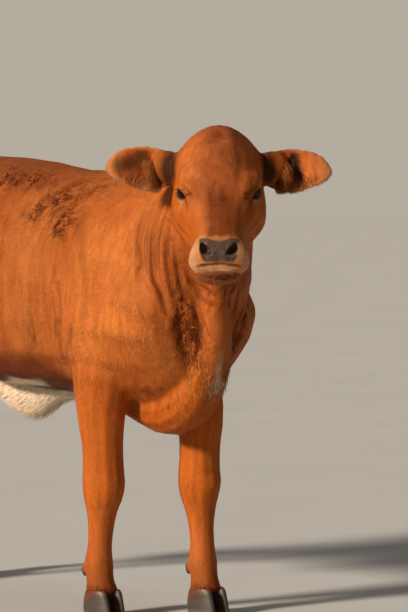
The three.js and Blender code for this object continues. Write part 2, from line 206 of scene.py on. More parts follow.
def lofted(work: bmesh.types.BMesh, name: str) -> bpy.types.Mesh:
    """A closed mesh of triangles through a stack of rings."""
    bmesh.ops.bridge_loops(work, edges=work.edges)
    bmesh.ops.holes_fill(work, edges=work.edges)
    bmesh.ops.recalc_face_normals(work, faces=work.faces)
    bmesh.ops.triangulate(work, faces=work.faces)
    return mesh_of(work, name)


def many_solids(name: str, points: Array, triangles: Array) -> bpy.types.Mesh:
    """One mesh that joins thousands of small solids, from arrays."""
    mesh = bpy.data.meshes.new(name)
    mesh.vertices.add(len(points))
    mesh.loops.add(triangles.size)
    mesh.polygons.add(len(triangles))
    mesh.vertices.foreach_set("co", points.astype(np.float32).ravel())
    mesh.loops.foreach_set("vertex_index", triangles.astype(np.int32).ravel())
    mesh.polygons.foreach_set("loop_start", np.arange(0, triangles.size, 3, dtype=np.int32))
    mesh.update(calc_edges=True)
    mesh.shade_smooth()
    return mesh


def paint(mesh: bpy.types.Mesh, name: str, colours: Array) -> None:
    """Stores a colour for each vertex."""
    held = mesh.attributes.new(name, "FLOAT_COLOR", "POINT")
    full = np.hstack([colours, np.ones((len(colours), 1))])
    held.data.foreach_set("color", full.astype(np.float32).ravel())


def unwrap(mesh: bpy.types.Mesh, spots: Array) -> None:
    """Stores the bake map, from a place for each vertex."""
    layer = mesh.uv_layers.new(name="OFBake")
    loops = np.empty(len(mesh.loops), np.int32)
    mesh.loops.foreach_get("vertex_index", loops)
    layer.data.foreach_set("uv", spots[loops].astype(np.float32).ravel())


def placed(name: str, data: bpy.types.ID) -> bpy.types.Object:
    """A new object in the scene."""
    piece = bpy.data.objects.new(name, data)
    bpy.context.scene.collection.objects.link(piece)
    return piece


def show(name: str, mesh: bpy.types.Mesh, finish: "Finish", slot: str, *nodes: str) -> bpy.types.Object:
    """Puts a finished mesh in the scene as a piece of the calf.

    Args:
        name: the piece's name.
        mesh: its mesh, in the row frame.
        finish: what it is made of.
        slot: not used.
        nodes: the CAD nodes that it stands for.

    Returns:
        The piece.
    """
    piece = placed(name, mesh)
    mesh.materials.append(finish.material())
    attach(piece, "root")
    if nodes:
        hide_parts(*nodes)
    log.info("%s: %d faces", name, len(mesh.polygons))
    return piece


def settled(piece: bpy.types.Object) -> bpy.types.Mesh:
    """A piece's mesh with its modifiers applied. The piece itself is removed."""
    depsgraph = bpy.context.evaluated_depsgraph_get()
    mesh = bpy.data.meshes.new_from_object(piece.evaluated_get(depsgraph), depsgraph=depsgraph)
    bpy.data.objects.remove(piece)
    return mesh


def weigh(piece: bpy.types.Object, name: str, weights: Array) -> None:
    """Gives an object's vertices a named weight each, in steps of a sixtieth."""
    group = piece.vertex_groups.new(name=name)
    steps = np.round(np.clip(weights, 0, 1) * 60).astype(int)
    for level in np.unique(steps):
        group.add(np.flatnonzero(steps == level).tolist(), level / 60, "REPLACE")


# ---- Frames on the animal ----------------------------------------------------------------------------


@dataclass(frozen=True)
class Axes:
    """A frame on the animal: its origin and its unit axes as rows, in the row frame."""

    origin: Array
    rows: Array

    def local(self, points: Array) -> Array:
        """Row frame points in this frame."""
        return (points - self.origin) @ self.rows.T

    def world(self, points: Array) -> Array:
        """This frame's points in the row frame."""
        return points @ self.rows + self.origin

    def turned(self, ways: Array) -> Array:
        """This frame's directions in the row frame."""
        return ways @ self.rows

    def seen(self, ways: Array) -> Array:
        """Row frame directions in this frame."""
        return ways @ self.rows.T


@dataclass(frozen=True)
class Anatomy:
    """The frames that the body is measured in, found from where the eyes are."""

    head_place: Point = (381, -121, 972)  # middle between the eyes, in the body's frame
    eye_set: Point = (2, 72, 3)  # left eye, in the head's frame
    pitch: float = 42  # degrees that the nose points down
    ear_root: Point = (-84, 88, 50)
    ear_sweep: float = 12  # degrees back
    ear_twist: float = -6
    ear_lift: dict[Side, float] = field(default_factory=lambda: {Side.LEFT: 0.0, Side.RIGHT: 4.0})
    feet: dict[str, float] = field(
        default_factory=lambda: {"fore_left": 62, "fore_right": -62, "hind_left": -870, "hind_right": -800}
    )
    stance: dict[str, float] = field(default_factory=lambda: {"fore": 104, "hind": 112})

    @property
    def eyes(self) -> dict[Side, Array]:
        """The middle of each eyeball."""
        return {side: np.array(sum(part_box(f"eye_{side.word}"), Vector()) / 2) for side in Side}

    @property
    def upper(self) -> Axes:
        """The head's frame before it is pitched: turned with the head and level."""
        eyes = self.eyes
        left = unit(eyes[Side.LEFT] - eyes[Side.RIGHT])
        ahead = unit(np.array([left[1], -left[0], 0]))
        up = np.cross(ahead, left)
        pitched = Matrix.Rotation(math.radians(self.pitch), 3, "Y") @ Vector(self.eye_set)
        offset = np.array([pitched.x, 0, pitched.z]) * MM
        level = np.array([ahead, left, up])
        return Axes((eyes[Side.LEFT] + eyes[Side.RIGHT]) / 2 - offset @ level, level)

    @property
    def head(self) -> Axes:
        """Origin between the eyes, x along the face to the nose, y to the calf's left."""
        level = self.upper
        return Axes(level.origin, rotation("Y", self.pitch).T @ level.rows)

    @property
    def body(self) -> Axes:
        """Origin on the floor under the withers, x forward, z up."""
        return Axes(self.upper.origin - np.array(self.head_place) * MM, np.eye(3))

    def ear(self, side: Side) -> Axes:
        """An ear's frame: hollow towards x, y from root to tip. The right one is mirrored."""
        turn = rotation("Z", self.ear_sweep) @ rotation("Y", self.ear_twist)
        turn = turn @ rotation("X", self.ear_lift[side])
        mirror = np.diag([1, side.value, 1])
        level = self.upper
        root = level.world(np.array(self.ear_root) * MM * np.diag(mirror))
        return Axes(root, turn.T @ mirror @ level.rows)


@dataclass(frozen=True)
class Places:
    """Points of the surface, as seen in each of the animal's frames, with what part they are on."""

    points: Array
    normals: Array
    anatomy: Anatomy
    body: Array = field(init=False)
    face: Array = field(init=False)  # in the head's frame
    head: Array = field(init=False)  # one on the head, zero behind it
    ears: dict[Side, Array] = field(init=False)
    ear_normals: dict[Side, Array] = field(init=False)

    POLL = (0.285, -0.048, 0.96)  # where the head meets the neck, and the way across it
    POLL_WAY = (0.82, -0.5, 0.28)

    def __post_init__(self) -> None:
        """Works out the local coordinates once."""
        anatomy = self.anatomy
        body = anatomy.body.local(self.points)
        ears = {side: anatomy.ear(side) for side in Side}
        found = {
            "body": body,
            "face": anatomy.head.local(self.points),
            "head": step(-0.025, 0.025, (body - np.array(self.POLL)) @ unit(np.array(self.POLL_WAY))),
            "ears": {side: ear.local(self.points) for side, ear in ears.items()},
            "ear_normals": {side: ear.seen(self.normals) for side, ear in ears.items()},
        }
        for name, value in found.items():
            object.__setattr__(self, name, value)

    def on_ear(self, side: Side) -> Array:
        """One on an ear's blade, zero off it."""
        x, y, z = self.ears[side].T
        near = step(0.062, 0.052, np.abs(z + 0.002)) * step(0.05, 0.036, np.abs(x + 0.006))
        return near * step(0.004, 0.022, y) * step(0.19, 0.175, y)

    def on_ears(self) -> Array:
        """One on either ear's blade, zero off them."""
        return np.maximum(*(self.on_ear(side) for side in Side))

    def on_legs(self) -> Array:
        """True on the four legs, as far up as they are clear of the body."""
        x, y, z = self.body.T
        return (z < 0.5) & (np.abs(y) > 0.062) & ((x > -0.16) | (x < -0.52))

    def eye_polar(self, side: Side) -> "EyePolar":
        """The places as seen from the middle of one eye."""
        return EyePolar.around(self.points, self.anatomy, side)

    def off_lids(self, side: Side) -> Array:
        """How far outside the opening of an eye's lids each place is, in millimetres."""
        return self.eye_polar(side).rim / MM


@dataclass(frozen=True)
class EyePolar:
    """Where points lie round an eyeball, and how far outside the opening of the lids."""

    direction: Array
    distance: Array
    rim: Array  # metres outside the opening's edge, negative inside
    nasal: Array  # angle towards the nose
    rise: Array  # angle upwards

    WIDE = math.radians(52)
    HIGH = math.radians(29)
    LOW = math.radians(22)
    RADIUS = 17.5 * MM
    GAZE = (0.55, 0.81, 0.22)
    NASAL = (0.81, -0.55, 0.0)

    @classmethod
    def axes(cls, anatomy: Anatomy, side: Side) -> Axes:
        """The eye's frame: x out along the gaze, y to the nose, z up."""
        mirror = np.array([1, side.value, 1])
        gaze = unit(np.array(cls.GAZE) * mirror)
        nose = np.array(cls.NASAL) * mirror
        nose = unit(nose - gaze * (nose @ gaze))
        up = np.cross(gaze, nose) * -side.value
        head = anatomy.head
        return Axes(anatomy.eyes[side], head.turned(np.array([gaze, nose, up])))

    @classmethod
    def around(cls, points: Array, anatomy: Anatomy, side: Side) -> "EyePolar":
        """Measures points round one eye."""
        local = cls.axes(anatomy, side).local(points)
        distance = np.linalg.norm(local, axis=1)
        x, y, z = (local / np.maximum(distance, 1e-9)[:, None]).T
        nasal = np.arctan2(y, x)
        rise = np.arcsin(np.clip(z, -1, 1))
        across = np.clip(np.abs(nasal) / cls.WIDE, 0, None)
        limit = np.where(rise > 0, cls.HIGH, cls.LOW) * (1 - np.minimum(across, 1) ** 2) ** 0.75
        inside = np.abs(rise) - limit
        past = np.hypot(np.abs(nasal) - cls.WIDE, rise)
        rim = np.where(across < 1, inside, past) * cls.RADIUS
        return cls(unit(local), distance, rim, nasal, rise)


# ---- Finishes ----------------------------------------------------------------------------------------


MIDDLE = (0.3, 0.7)  # the span that nearly all of a noise value lies in


@dataclass(frozen=True)
class Finish:
    """A material made once and used by every piece that has it."""

    name: str
    roughness: float = 0.6

    @property
    def constants(self) -> dict[str, object]:
        """The shader's other settled inputs."""
        return {}

    def material(self) -> bpy.types.Material:
        """The material, made on first use."""
        held = bpy.data.materials.get(self.name)
        if held is None:
            held = bpy.data.materials.new(self.name)
            held.use_nodes = True
            shader = held.node_tree.nodes["Principled BSDF"]
            for name, value in {"Roughness": self.roughness, **self.constants}.items():
                shader.inputs[name].default_value = value
            self.dress(Nodes(held.node_tree), shader)
        return held

    def dress(self, nodes: "Nodes", shader: bpy.types.Node) -> None:
        """Builds the pattern of this finish."""
        raise NotImplementedError


@dataclass(frozen=True)
class Nodes:
    """Short ways to add and join a material's nodes."""

    tree: bpy.types.NodeTree

    def add(self, kind: str, inputs: dict | None = None, **settings: object) -> bpy.types.Node:
        """Adds a node.

        Args:
            kind: the node's type without its ShaderNode start.
            inputs: values or output sockets for its inputs, by name or number.
            settings: its own properties.

        Returns:
            The node.
        """
        node = self.tree.nodes.new("ShaderNode" + kind)
        for name, value in settings.items():
            setattr(node, name, value)
        for name, value in (inputs or {}).items():
            if isinstance(value, bpy.types.NodeSocket):
                self.tree.links.new(value, node.inputs[name])
            else:
                node.inputs[name].default_value = value
        return node

    def join(self, output: Socket, target: Socket) -> None:
        """Links two sockets."""
        self.tree.links.new(output, target)

    def noise(self, scale: float, detail: float = 3, stretch: Point = (1, 1, 1), turn: float = 0) -> Socket:
        """A noise value in the piece's own space.

        Args:
            scale: how fine it is.
            detail: octaves.
            stretch: shares of the scale along each axis, after the turn.
            turn: degrees about y.

        Returns:
            The value, around a half.
        """
        place = self.add("TexCoord").outputs["Object"]
        turned = (0, math.radians(turn), 0)
        mapping = self.add("Mapping", {"Vector": place, "Scale": stretch, "Rotation": turned})
        found = self.add("TexNoise", {"Vector": mapping.outputs[0], "Scale": scale, "Detail": detail})
        return found.outputs["Fac"]

    def ramp(self, value: Socket, low: float, high: float, out: Spot) -> Socket:
        """A value taken from one span to another and held at its ends."""
        spans = {"From Min": low, "From Max": high, "To Min": out[0], "To Max": out[1]}
        return self.add("MapRange", {"Value": value, **spans}).outputs["Result"]

    def product(self, first: Socket, second: Socket) -> Socket:
        """Two values multiplied."""
        return self.add("Math", {0: first, 1: second}, operation="MULTIPLY").outputs[0]

    def hairs(self, strands: Socket, out: Spot) -> Socket:
        """The shade of flat hair: strands from one tone to another, over broader streaks."""
        streaks = self.ramp(self.noise(75, 4, (1, 1, 0.14), 28), *MIDDLE, (0.84, 1.15))
        return self.product(self.ramp(strands, *MIDDLE, out), streaks)

    def raised(self, height: Socket, strength: float, depth: float) -> Socket:
        """The surface's direction as a height pattern turns it, with its depth in metres."""
        return self.add("Bump", {"Height": height, "Strength": strength, "Distance": depth}).outputs[0]

    def between(self, share: Socket, first: Socket | float, second: Socket | float) -> Socket:
        """The first value turned into the second by a share."""
        return self.add("Mix", {0: share, 2: first, 3: second}).outputs[0]

    def tinted(self, share: Socket) -> Socket:
        """The painted colour, made darker or lighter by a share."""
        colour = self.add("Attribute", attribute_name="tint").outputs["Color"]
        node = self.add("VectorMath", {0: colour}, operation="SCALE")
        self.join(share, node.inputs["Scale"])
        return node.outputs[0]


@dataclass(frozen=True)
class HairFinish(Finish):
    """Short glossy hair: the painted coat colour broken up strand by strand."""

    name: str = "calf hair"
    roughness: float = 0.52

    @property
    def constants(self) -> dict[str, object]:
        """A faint warm gloss."""
        return {"Specular IOR Level": 0.14, "Specular Tint": (1.0, 0.55, 0.30, 1)}

    def dress(self, nodes: Nodes, shader: bpy.types.Node) -> None:
        """Varies the tint finely."""
        strands = nodes.noise(900, 2, (1, 1, 0.2), 38)
        nodes.join(nodes.tinted(nodes.hairs(strands, (0.82, 1.15))), shader.inputs["Base Color"])


@dataclass(frozen=True)
class HideFinish(Finish):
    """The hide under the coat: flat hair in a fine lie of strands, and pebbled leather where it is bare."""

    name: str = "calf hide"
    roughness: float = 0.62

    @property
    def constants(self) -> dict[str, object]:
        """A soft warm gloss."""
        return {"Specular IOR Level": 0.22, "Specular Tint": (1.0, 0.66, 0.45, 1)}

    def dress(self, nodes: Nodes, shader: bpy.types.Node) -> None:
        """Draws strands where the hide is hairy, and wet pebbles where it is bare."""
        bare = nodes.add("Attribute", attribute_name="bare").outputs["Fac"]
        place = nodes.add("TexCoord").outputs["Object"]
        strands = nodes.noise(700, 3, (1, 1, 0.16), 38)
        pebbles = nodes.add("TexVoronoi", {"Vector": place, "Scale": 420.0}, feature="SMOOTH_F1")
        mottle = nodes.ramp(nodes.noise(120, 4), 0.35, 0.65, (0.72, 1.3))
        shade = nodes.between(bare, nodes.hairs(strands, (0.78, 1.14)), mottle)
        nodes.join(nodes.tinted(shade), shader.inputs["Base Color"])
        domes = nodes.ramp(pebbles.outputs["Distance"], 0.0, 0.8, (1.0, 0.0))
        height = nodes.between(bare, strands, domes)
        nodes.join(nodes.raised(height, 0.5, 1.2 * MM), shader.inputs["Normal"])
        wet = nodes.ramp(nodes.noise(90, 2), 0.4, 0.6, (0.26, 0.44))
        nodes.join(nodes.between(bare, self.roughness, wet), shader.inputs["Roughness"])


@dataclass(frozen=True)
class EyeFinish(Finish):
    """A wet eye, painted with its iris, pupil and the smoky white of its corners."""

    name: str = "calf eye"
    roughness: float = 0.12

    @property
    def constants(self) -> dict[str, object]:
        """A clear wet coat."""
        coat = {"Coat Weight": 0.12, "Coat Roughness": 0.03, "Coat IOR": 1.3}
        return {"IOR": 1.3, "Specular IOR Level": 0.25, **coat}

    def dress(self, nodes: Nodes, shader: bpy.types.Node) -> None:
        """Breaks the painted colours up a little."""
        fine = nodes.ramp(nodes.noise(1400, 2), *MIDDLE, (0.8, 1.2))
        nodes.join(nodes.tinted(fine), shader.inputs["Base Color"])


@dataclass(frozen=True)
class HornFinish(Finish):
    """Hoof horn: dull, ringed by its growth, finely fluted downwards."""

    name: str = "hoof horn"
    roughness: float = 0.55

    def dress(self, nodes: Nodes, shader: bpy.types.Node) -> None:
        """Draws rings, flutes and wear."""
        rings = nodes.noise(45, 3, (0.3, 0.3, 3.0))
        flutes = nodes.noise(520, 2, (1, 1, 0.07))
        ringed = nodes.ramp(rings, 0.35, 0.65, (0.86, 1.14))
        shade = nodes.product(ringed, nodes.ramp(flutes, *MIDDLE, (0.82, 1.15)))
        nodes.join(nodes.tinted(shade), shader.inputs["Base Color"])
        height = nodes.add("Math", {0: rings, 1: flutes}, operation="ADD").outputs[0]
        nodes.join(nodes.raised(height, 0.3, 0.8 * MM), shader.inputs["Normal"])
        nodes.join(nodes.ramp(flutes, *MIDDLE, (0.40, 0.58)), shader.inputs["Roughness"])


@dataclass(frozen=True)
class FloorFinish(Finish):
    """A plain pale studio floor."""

    name: str = "studio floor"
    roughness: float = 0.85

    def dress(self, nodes: Nodes, shader: bpy.types.Node) -> None:
        """Hardly varies the tone."""
        tone = nodes.ramp(nodes.noise(1.5, 3), *MIDDLE, (0.545, 0.575))
        colour = nodes.add("CombineColor", {0: tone, 1: tone, 2: tone})
        nodes.join(colour.outputs[0], shader.inputs["Base Color"])


HAIR, HIDE, EYE, HORN = HairFinish(), HideFinish(), EyeFinish(), HornFinish()


# ---- Colours of the coat and skin --------------------------------------------------------------------


class Tone(Enum):
    """Colours of hair and skin, as linear red, green and blue."""

    RED = (0.43, 0.100, 0.018)
    LIT_RED = (0.55, 0.152, 0.032)
    BROWN = (0.30, 0.072, 0.024)
    DEEP = (0.120, 0.020, 0.004)
    ORANGE = (0.52, 0.112, 0.009)
    GOLD = (0.66, 0.195, 0.036)
    TAN = (0.60, 0.25, 0.085)
    CREAM = (0.74, 0.58, 0.42)
    # near-black: the lid rims, lashes and dark bristles, and painted shade in the mouth's crease, the ears'
    # hollows, under the chin and under the belly's flap
    SOOT = (0.022, 0.011, 0.007)
    NOSE = (0.085, 0.052, 0.040)
    # painted shade: the near-black inside the nostrils
    NOSTRIL = (0.008, 0.005, 0.004)
    HOOF = (0.055, 0.040, 0.030)
    HOOF_PALE = (0.20, 0.15, 0.10)
    # painted shadow at the root of each ear, where its blade shades it
    EAR_ROOT = (0.026, 0.007, 0.003)
    IRIS = (0.030, 0.013, 0.007)
    IRIS_EDGE = (0.015, 0.008, 0.006)
    PUPIL = (0.004, 0.004, 0.006)
    EYE_WHITE = (0.14, 0.08, 0.055)

    @property
    def rgb(self) -> Array:
        """The colour as an array."""
        return np.array(self.value)


@dataclass(frozen=True)
class Muzzle:
    """The nose pad, nostrils and lips, in the head's frame, in millimetres."""

    pad_top: float = -99
    pad_bottom: float = -147
    pad_half: float = 42
    pad_foot: float = 29
    nostril: Point = (197, 30, 17)
    slant: Point = (-0.527, 0.616, 0.585)  # the nostril's long axis, from below up and outwards
    across: Point = (0.412, 0.788, -0.457)

    def drop(self, face: Array) -> Array:
        """Height on the upright front of the muzzle, in millimetres."""
        return (-0.669 * face[:, 0] + 0.743 * face[:, 2]) / MM

    def pad(self, face: Array) -> Array:
        """One on the nose pad, zero off it."""
        drop = self.drop(face)
        low = np.clip((drop - self.pad_bottom) / 26, 0, 1)
        half = self.pad_foot + (self.pad_half - self.pad_foot) * np.sqrt(low)
        top = self.pad_top - 3.5 * np.cos(face[:, 1] / MM / self.pad_half * 4.4)
        across = step(1.06, 0.98, np.abs(face[:, 1]) / MM / half)
        return across * step(top + 1, top - 1.5, drop) * step(-149, -145, drop) * (face[:, 0] > 0.14)

    def nostril_distance(self, face: Array) -> Array:
        """Distance to the nearer nostril's middle, shrunk along its slant, in millimetres."""
        offset = np.column_stack([face[:, 0], np.abs(face[:, 1]), face[:, 2]]) / MM
        offset = offset - np.array(self.nostril)
        along = offset @ np.array(self.slant)
        across = offset @ np.array(self.across) + 0.016 * along**2 - 1.5
        inward = np.abs(offset @ np.cross(self.slant, self.across))
        across = across * (1 + 0.35 * step(-4, 16, along))
        return np.hypot(np.hypot(across, 0.5 * inward), along * 0.54)


@dataclass(frozen=True)
class EarPaint:
    """How the hollow of one ear is coloured, with its painted shade."""

    lining: Point  # linear red, green and blue
    hollow: tuple[Spot, ...]  # path of its painted shade, out from the root and up, in millimetres
    strength: float
    spread: float  # metres that the painted shade reaches from its path


MUZZLE = Muzzle()
EAR_TAPER = 0.26  # share that the lower rim of an ear comes in
EAR_TAPERING = (0.06, 0.14)  # from the root, in metres, between which it does


@dataclass(frozen=True)
class Markings:
    """Where each colour lies. Skin and coat are both painted from here."""

    white_line: float = 0.531  # height of the edge of the white belly
    curls: Marks = (
        # dark curly places on the upper ribs, the back and the breast: dark hair with painted shade between
        # the curls
        ((-156, -136, 905), (36, 60, 34), 1.1),
        ((-205, -100, 962), (46, 60, 28), 1.0),
        ((-262, -116, 925), (34, 60, 28), 0.9),
        ((-330, -90, 1005), (70, 60, 20), 0.9),
        ((-440, -90, 1010), (60, 60, 34), 0.8),
        ((-420, -150, 905), (60, 60, 40), 0.4),
        ((-110, -60, 985), (50, 60, 22), 0.45),
        ((214, -64, 645), (26, 40, 66), 0.95),
        ((214, -92, 720), (16, 30, 60), 0.85),
    )
    painted_shade: Marks = (
        # painted shade, with no curls: on the neck, the elbow and its folds, in the armpits and on the throat
        # under the jaw
        ((252, -34, 800), (40, 50, 26), 0.4),
        ((60, -60, 520), (90, 60, 50), 0.4),
        ((-116, -178, 650), (16, 40, 60), 0.7),
        ((-211, -180, 650), (12, 40, 34), 0.5),
        ((80, -84, 505), (34, 44, 56), 0.65),
        ((284, -10, 742), (44, 60, 34), 0.8),
    )
    painted_light: Marks = (
        # painted light: lighter gold places on the shoulder, the elbow and the brisket
        ((-46, -170, 800), (26, 60, 120), 0.7),
        ((-10, -180, 640), (60, 60, 50), 0.8),
        ((60, -160, 690), (70, 60, 50), 0.7),
        ((20, -140, 840), (80, 70, 80), 0.6),
        ((200, -60, 520), (50, 60, 40), 0.5),
    )
    ears: dict[Side, EarPaint] = field(
        default_factory=lambda: {
            Side.LEFT: EarPaint((0.70, 0.165, 0.04275), ((80, 28), (86, 6), (88, -14)), 0.97, 0.022),
            Side.RIGHT: EarPaint((0.54, 0.131, 0.027), ((84, 28), (98, 16), (126, 2)), 0.75, 0.030),
        }
    )
    face_marks: Marks = (
        # painted shade: in the crown's cleft, on the forehead, and at the inner corners of the eyes under the
        # brows and in the tear folds
        ((-118, 2, 66), (16, 7, 22), 0.65),
        ((14, -8, 50), (5, 4, 10), 0.75),
        ((28, 64, 22), (14, 9, 10), 0.9),
        ((30, -64, 20), (12, 8, 8), 0.85),
        ((46, 62, 4), (18, 9, 8), 0.7),
        ((46, -62, 4), (18, 9, 8), 0.7),
    )

    def coat(self, at: Places) -> Array:
        """The hair's colour at each place, as linear colours."""
        body = at.body
        both = to_right(body)
        x, _, z = body.T
        uneven = waves(body, (260, 260, 420), 3)
        fine = waves(body, (50, 50, 150), 4)
        colour = plain(Tone.RED.rgb, len(body))
        colour = mix(colour, Tone.LIT_RED.rgb, np.clip(0.45 + 0.3 * uneven + 0.16 * fine, 0, 1))
        colour = mix(colour, Tone.DEEP.rgb, 0.35 * step(0.95, 1.05, z) * (x < 0.2))
        streaky = body @ rotation("Y", 32)
        clumps = waves(streaky, (20, 20, 80), 8) + 0.4 * waves(body, (9, 9, 30), 9)
        ragged = 0.06 + 0.94 * step(-0.18, 0.42, clumps)
        for middle, reach, strength in (*self.curls, *self.painted_shade):
            share = np.clip(1.25 * strength * ragged * blob(both, middle, reach), 0, 1)
            colour = mix(colour, Tone.DEEP.rgb, share)
        for middle, reach, strength in self.painted_light:
            colour = mix(colour, Tone.GOLD.rgb, strength * blob(both, middle, reach))
        colour = colour * (1 - 0.17 * step(-0.08, -0.2, x) * step(0.5, 0.6, z))[:, None]
        legs = step(0.62, 0.45, z)
        colour = mix(colour, Tone.ORANGE.rgb, 0.65 * legs * step(0.10, 0.3, z))
        colour = mix(colour, Tone.DEEP.rgb, 0.45 * legs * step(0.13, 0.07, z))
        colour = self.head(self.belly(colour, at), at)
        # painted shade deep in the folds of the skin
        return mix(colour, Tone.DEEP.rgb, 0.88 * SCULPT.shade(at))

    def belly(self, colour: Array, at: Places) -> Array:
        """Adds painted shade on the lower flank where the body turns under, the white belly, a painted shadow
        where the slack skin meets the belly, and the pale brisket.
        """
        x, y, z = at.body.T
        line = self.white_line + 0.011 * waves(at.body, (120, 120, 120), 5) - 0.02 * step(-0.3, -0.1, x)
        between = step(-0.74, -0.6, x) * step(-0.06, -0.17, x)
        under = between * step(0.17, 0.15, np.abs(y))
        ragged = 0.012 * waves(at.body, (40, 40, 30), 6)
        # painted shade on the lower flank, above the white, where the body turns under
        underside_shade = step(line + 0.105 + ragged, line + 0.03, z) * (z > line - 0.02) * step(-0.06, -0.18, x)
        colour = mix(colour, Tone.DEEP.rgb, 0.9 * underside_shade * between)
        white = step(line + 0.006, line - 0.008, z) * under * (z > 0.38)
        groin = blob(at.body, (-690, 0, 590), (70, 70, 60))
        white = np.clip(white + 1.2 * groin, 0, 1)
        colour = mix(colour, Tone.CREAM.rgb, white)
        # painted shadow where the slack skin under the belly meets it
        flap_shadow = step(0.009, 0.004, np.abs(z - 0.513)) * step(-0.43, -0.34, x) * step(-0.15, -0.2, x)
        colour = mix(colour, Tone.SOOT.rgb, 0.85 * flap_shadow * (np.abs(y) > 0.03))
        front = blob(at.body, (240, -2, 540), (18, 15, 26))
        front += 0.6 * blob(at.body, (256, -12, 580), (12, 9, 40))
        return mix(colour, Tone.CREAM.rgb * [0.95, 0.88, 0.78], np.clip(0.95 * front, 0, 0.85))

    def head(self, colour: Array, at: Places) -> Array:
        """Adds the face, lips, lids and ears."""
        face = at.face
        x, y, z = face.T
        across = np.abs(y)
        upper = at.head * step(0.0, 0.03, z)
        flecks = np.clip(waves(face, (9, 6, 9), 11), 0, 1)
        brow = upper * step(0.11, 0.02, x) * step(0.07, 0.03, across)
        colour = mix(colour, Tone.BROWN.rgb, 0.6 * brow)
        colour = mix(colour, Tone.DEEP.rgb, 0.10 * brow * flecks)
        for middle, reach, strength in self.face_marks:
            colour = mix(colour, Tone.DEEP.rgb, strength * at.head * blob(face, middle, reach))
        cheek = at.head * step(0.03, -0.02, z) * step(0.16, 0.1, x)
        colour = mix(colour, Tone.ORANGE.rgb, 0.7 * cheek)
        # painted shade down the middle of the bridge of the nose
        bridge = upper * step(0.01, 0.06, x) * step(0.042, 0.016, across)
        colour = mix(colour, Tone.DEEP.rgb, 0.84 * bridge * (0.85 + 0.15 * flecks))
        drop = MUZZLE.drop(face)
        snout = at.head * step(0.128, 0.15, x + 0.12 * across)
        edge = -91 - 30 * np.clip((across - 0.038) / 0.02, 0, 1) ** 2 + 2 * waves(face, (26, 26, 26), 12)
        ring = snout * step(edge + 3, edge - 5, drop)
        colour = mix(colour, Tone.TAN.rgb, ring * (0.55 + 0.3 * step(0.03, 0.05, across)))
        colour = mix(colour, Tone.CREAM.rgb, 0.2 * ring * step(0.04, 0.055, across))
        lip_line = -154.5 - 0.13 * across / MM
        thick = 10 * (1 - np.clip(across / 0.044, 0, 1) ** 2)
        lip = snout * step(lip_line, lip_line - 2, drop)
        lip = lip * step(lip_line - thick - 2, lip_line - thick + 2, drop)
        colour = mix(colour, Tone.CREAM.rgb, 0.5 * lip)
        # the chin: dark bristles, with painted shade under the lower lip
        chin = snout * step(lip_line - 8, lip_line - 13, drop)
        colour = mix(colour, Tone.BROWN.rgb, 0.75 * chin)
        bristly = np.clip(0.75 + 0.5 * waves(face, (5, 5, 30), 13), 0, 1)
        dark = np.clip(1.3 * blob(face, (208, 14, -45), (36, 30, 13)), 0, 1)
        colour = mix(colour, Tone.SOOT.rgb, 0.92 * bristly * chin * dark)
        # painted shade in the crease of the mouth
        colour = mix(colour, Tone.SOOT.rgb, 0.75 * at.head * SCULPT.mouth.shade(face))
        for side in Side:
            rim = at.off_lids(side)
            near = step(60, 30, at.eye_polar(side).distance / MM)
            colour = mix(colour, Tone.TAN.rgb, 0.45 * near * step(13, 6, rim) * step(0.004, -0.004, z))
            colour = mix(colour, Tone.SOOT.rgb, 0.93 * near * step(3.4, 1.4, rim))
            colour = self.ear(colour, at, side)
        return colour

    def ear(self, colour: Array, at: Places, side: Side) -> Array:
        """Adds one ear: red behind, pale rim, a pink lining in front with painted shade in its hollow, and a
        painted shadow at its root.
        """
        ear = at.on_ear(side)
        _, y, z = at.ears[side].T
        fold = self.fold(z)
        inner = ear * step(-0.15, 0.25, at.ear_normals[side][:, 0]) * step(fold - 0.004, fold + 0.003, y)
        paint = self.ears[side]
        colour = mix(colour, np.array(paint.lining), 0.85 * inner)
        colour = mix(colour, Tone.TAN.rgb, 0.5 * inner * step(0.105, 0.15, y))
        # painted shade between the hairs low in the hollow
        gap_shade = inner * step(0.108, 0.088, y) * step(0.01, -0.006, z)
        colour = mix(colour, Tone.DEEP.rgb, 0.7 * gap_shade)
        # painted shade deep in the hollow, along its path
        away, _ = near_path(np.column_stack([y, z]), np.array(paint.hollow) * MM)
        ragged = 0.002 * waves(at.ears[side], (20, 9, 9), 15)
        dark = paint.strength * inner * step(paint.spread, 0.005, away + ragged)
        colour = mix(colour, Tone.SOOT.rgb, dark)
        colour = mix(colour, Tone.DEEP.rgb, 0.6 * inner * blob(at.ears[side], (0, 126, -22), (60, 6, 12)))
        # painted shadow at the ear's root, under its blade
        root = np.clip(1.5 * blob(at.ears[side], (6, 17, 2), (44, 23, 40)), 0, 1) * step(-0.016, 0.0, y)
        colour = mix(colour, Tone.EAR_ROOT.rgb, 0.96 * root)
        rim = ear * step(0.03, 0.06, y)
        colour = mix(colour, Tone.TAN.rgb, 0.6 * rim * step(0.72, 0.86, self.rim(y, z)))
        return mix(colour, Tone.CREAM.rgb, 0.6 * rim * step(0.93, 1.0, self.rim(y, z)))

    def fold(self, z: Array) -> Array:
        """How far out the furry base of an ear reaches over its hollow, at each height."""
        return 0.058 + 0.42 * z

    def rim(self, y: Array, z: Array) -> Array:
        """About one on the rim of an ear, less inside."""
        half = 0.051 * (1 - EAR_TAPER * step(*EAR_TAPERING, y) * (z < 0))
        return np.hypot(z / half, np.maximum(y - 0.1, 0) / 0.066)

    def skin(self, at: Places) -> Array:
        """The hide's colour: as the coat but darker, as painted shade under the tufts; bare on nose and lids,
        with painted shade inside the nostrils.
        """
        # painted shade: the hide under the tufts is darker than the coat
        colour = self.coat(at) * 0.9
        colour = mix(colour, Tone.NOSE.rgb, MUZZLE.pad(at.face) * at.head)
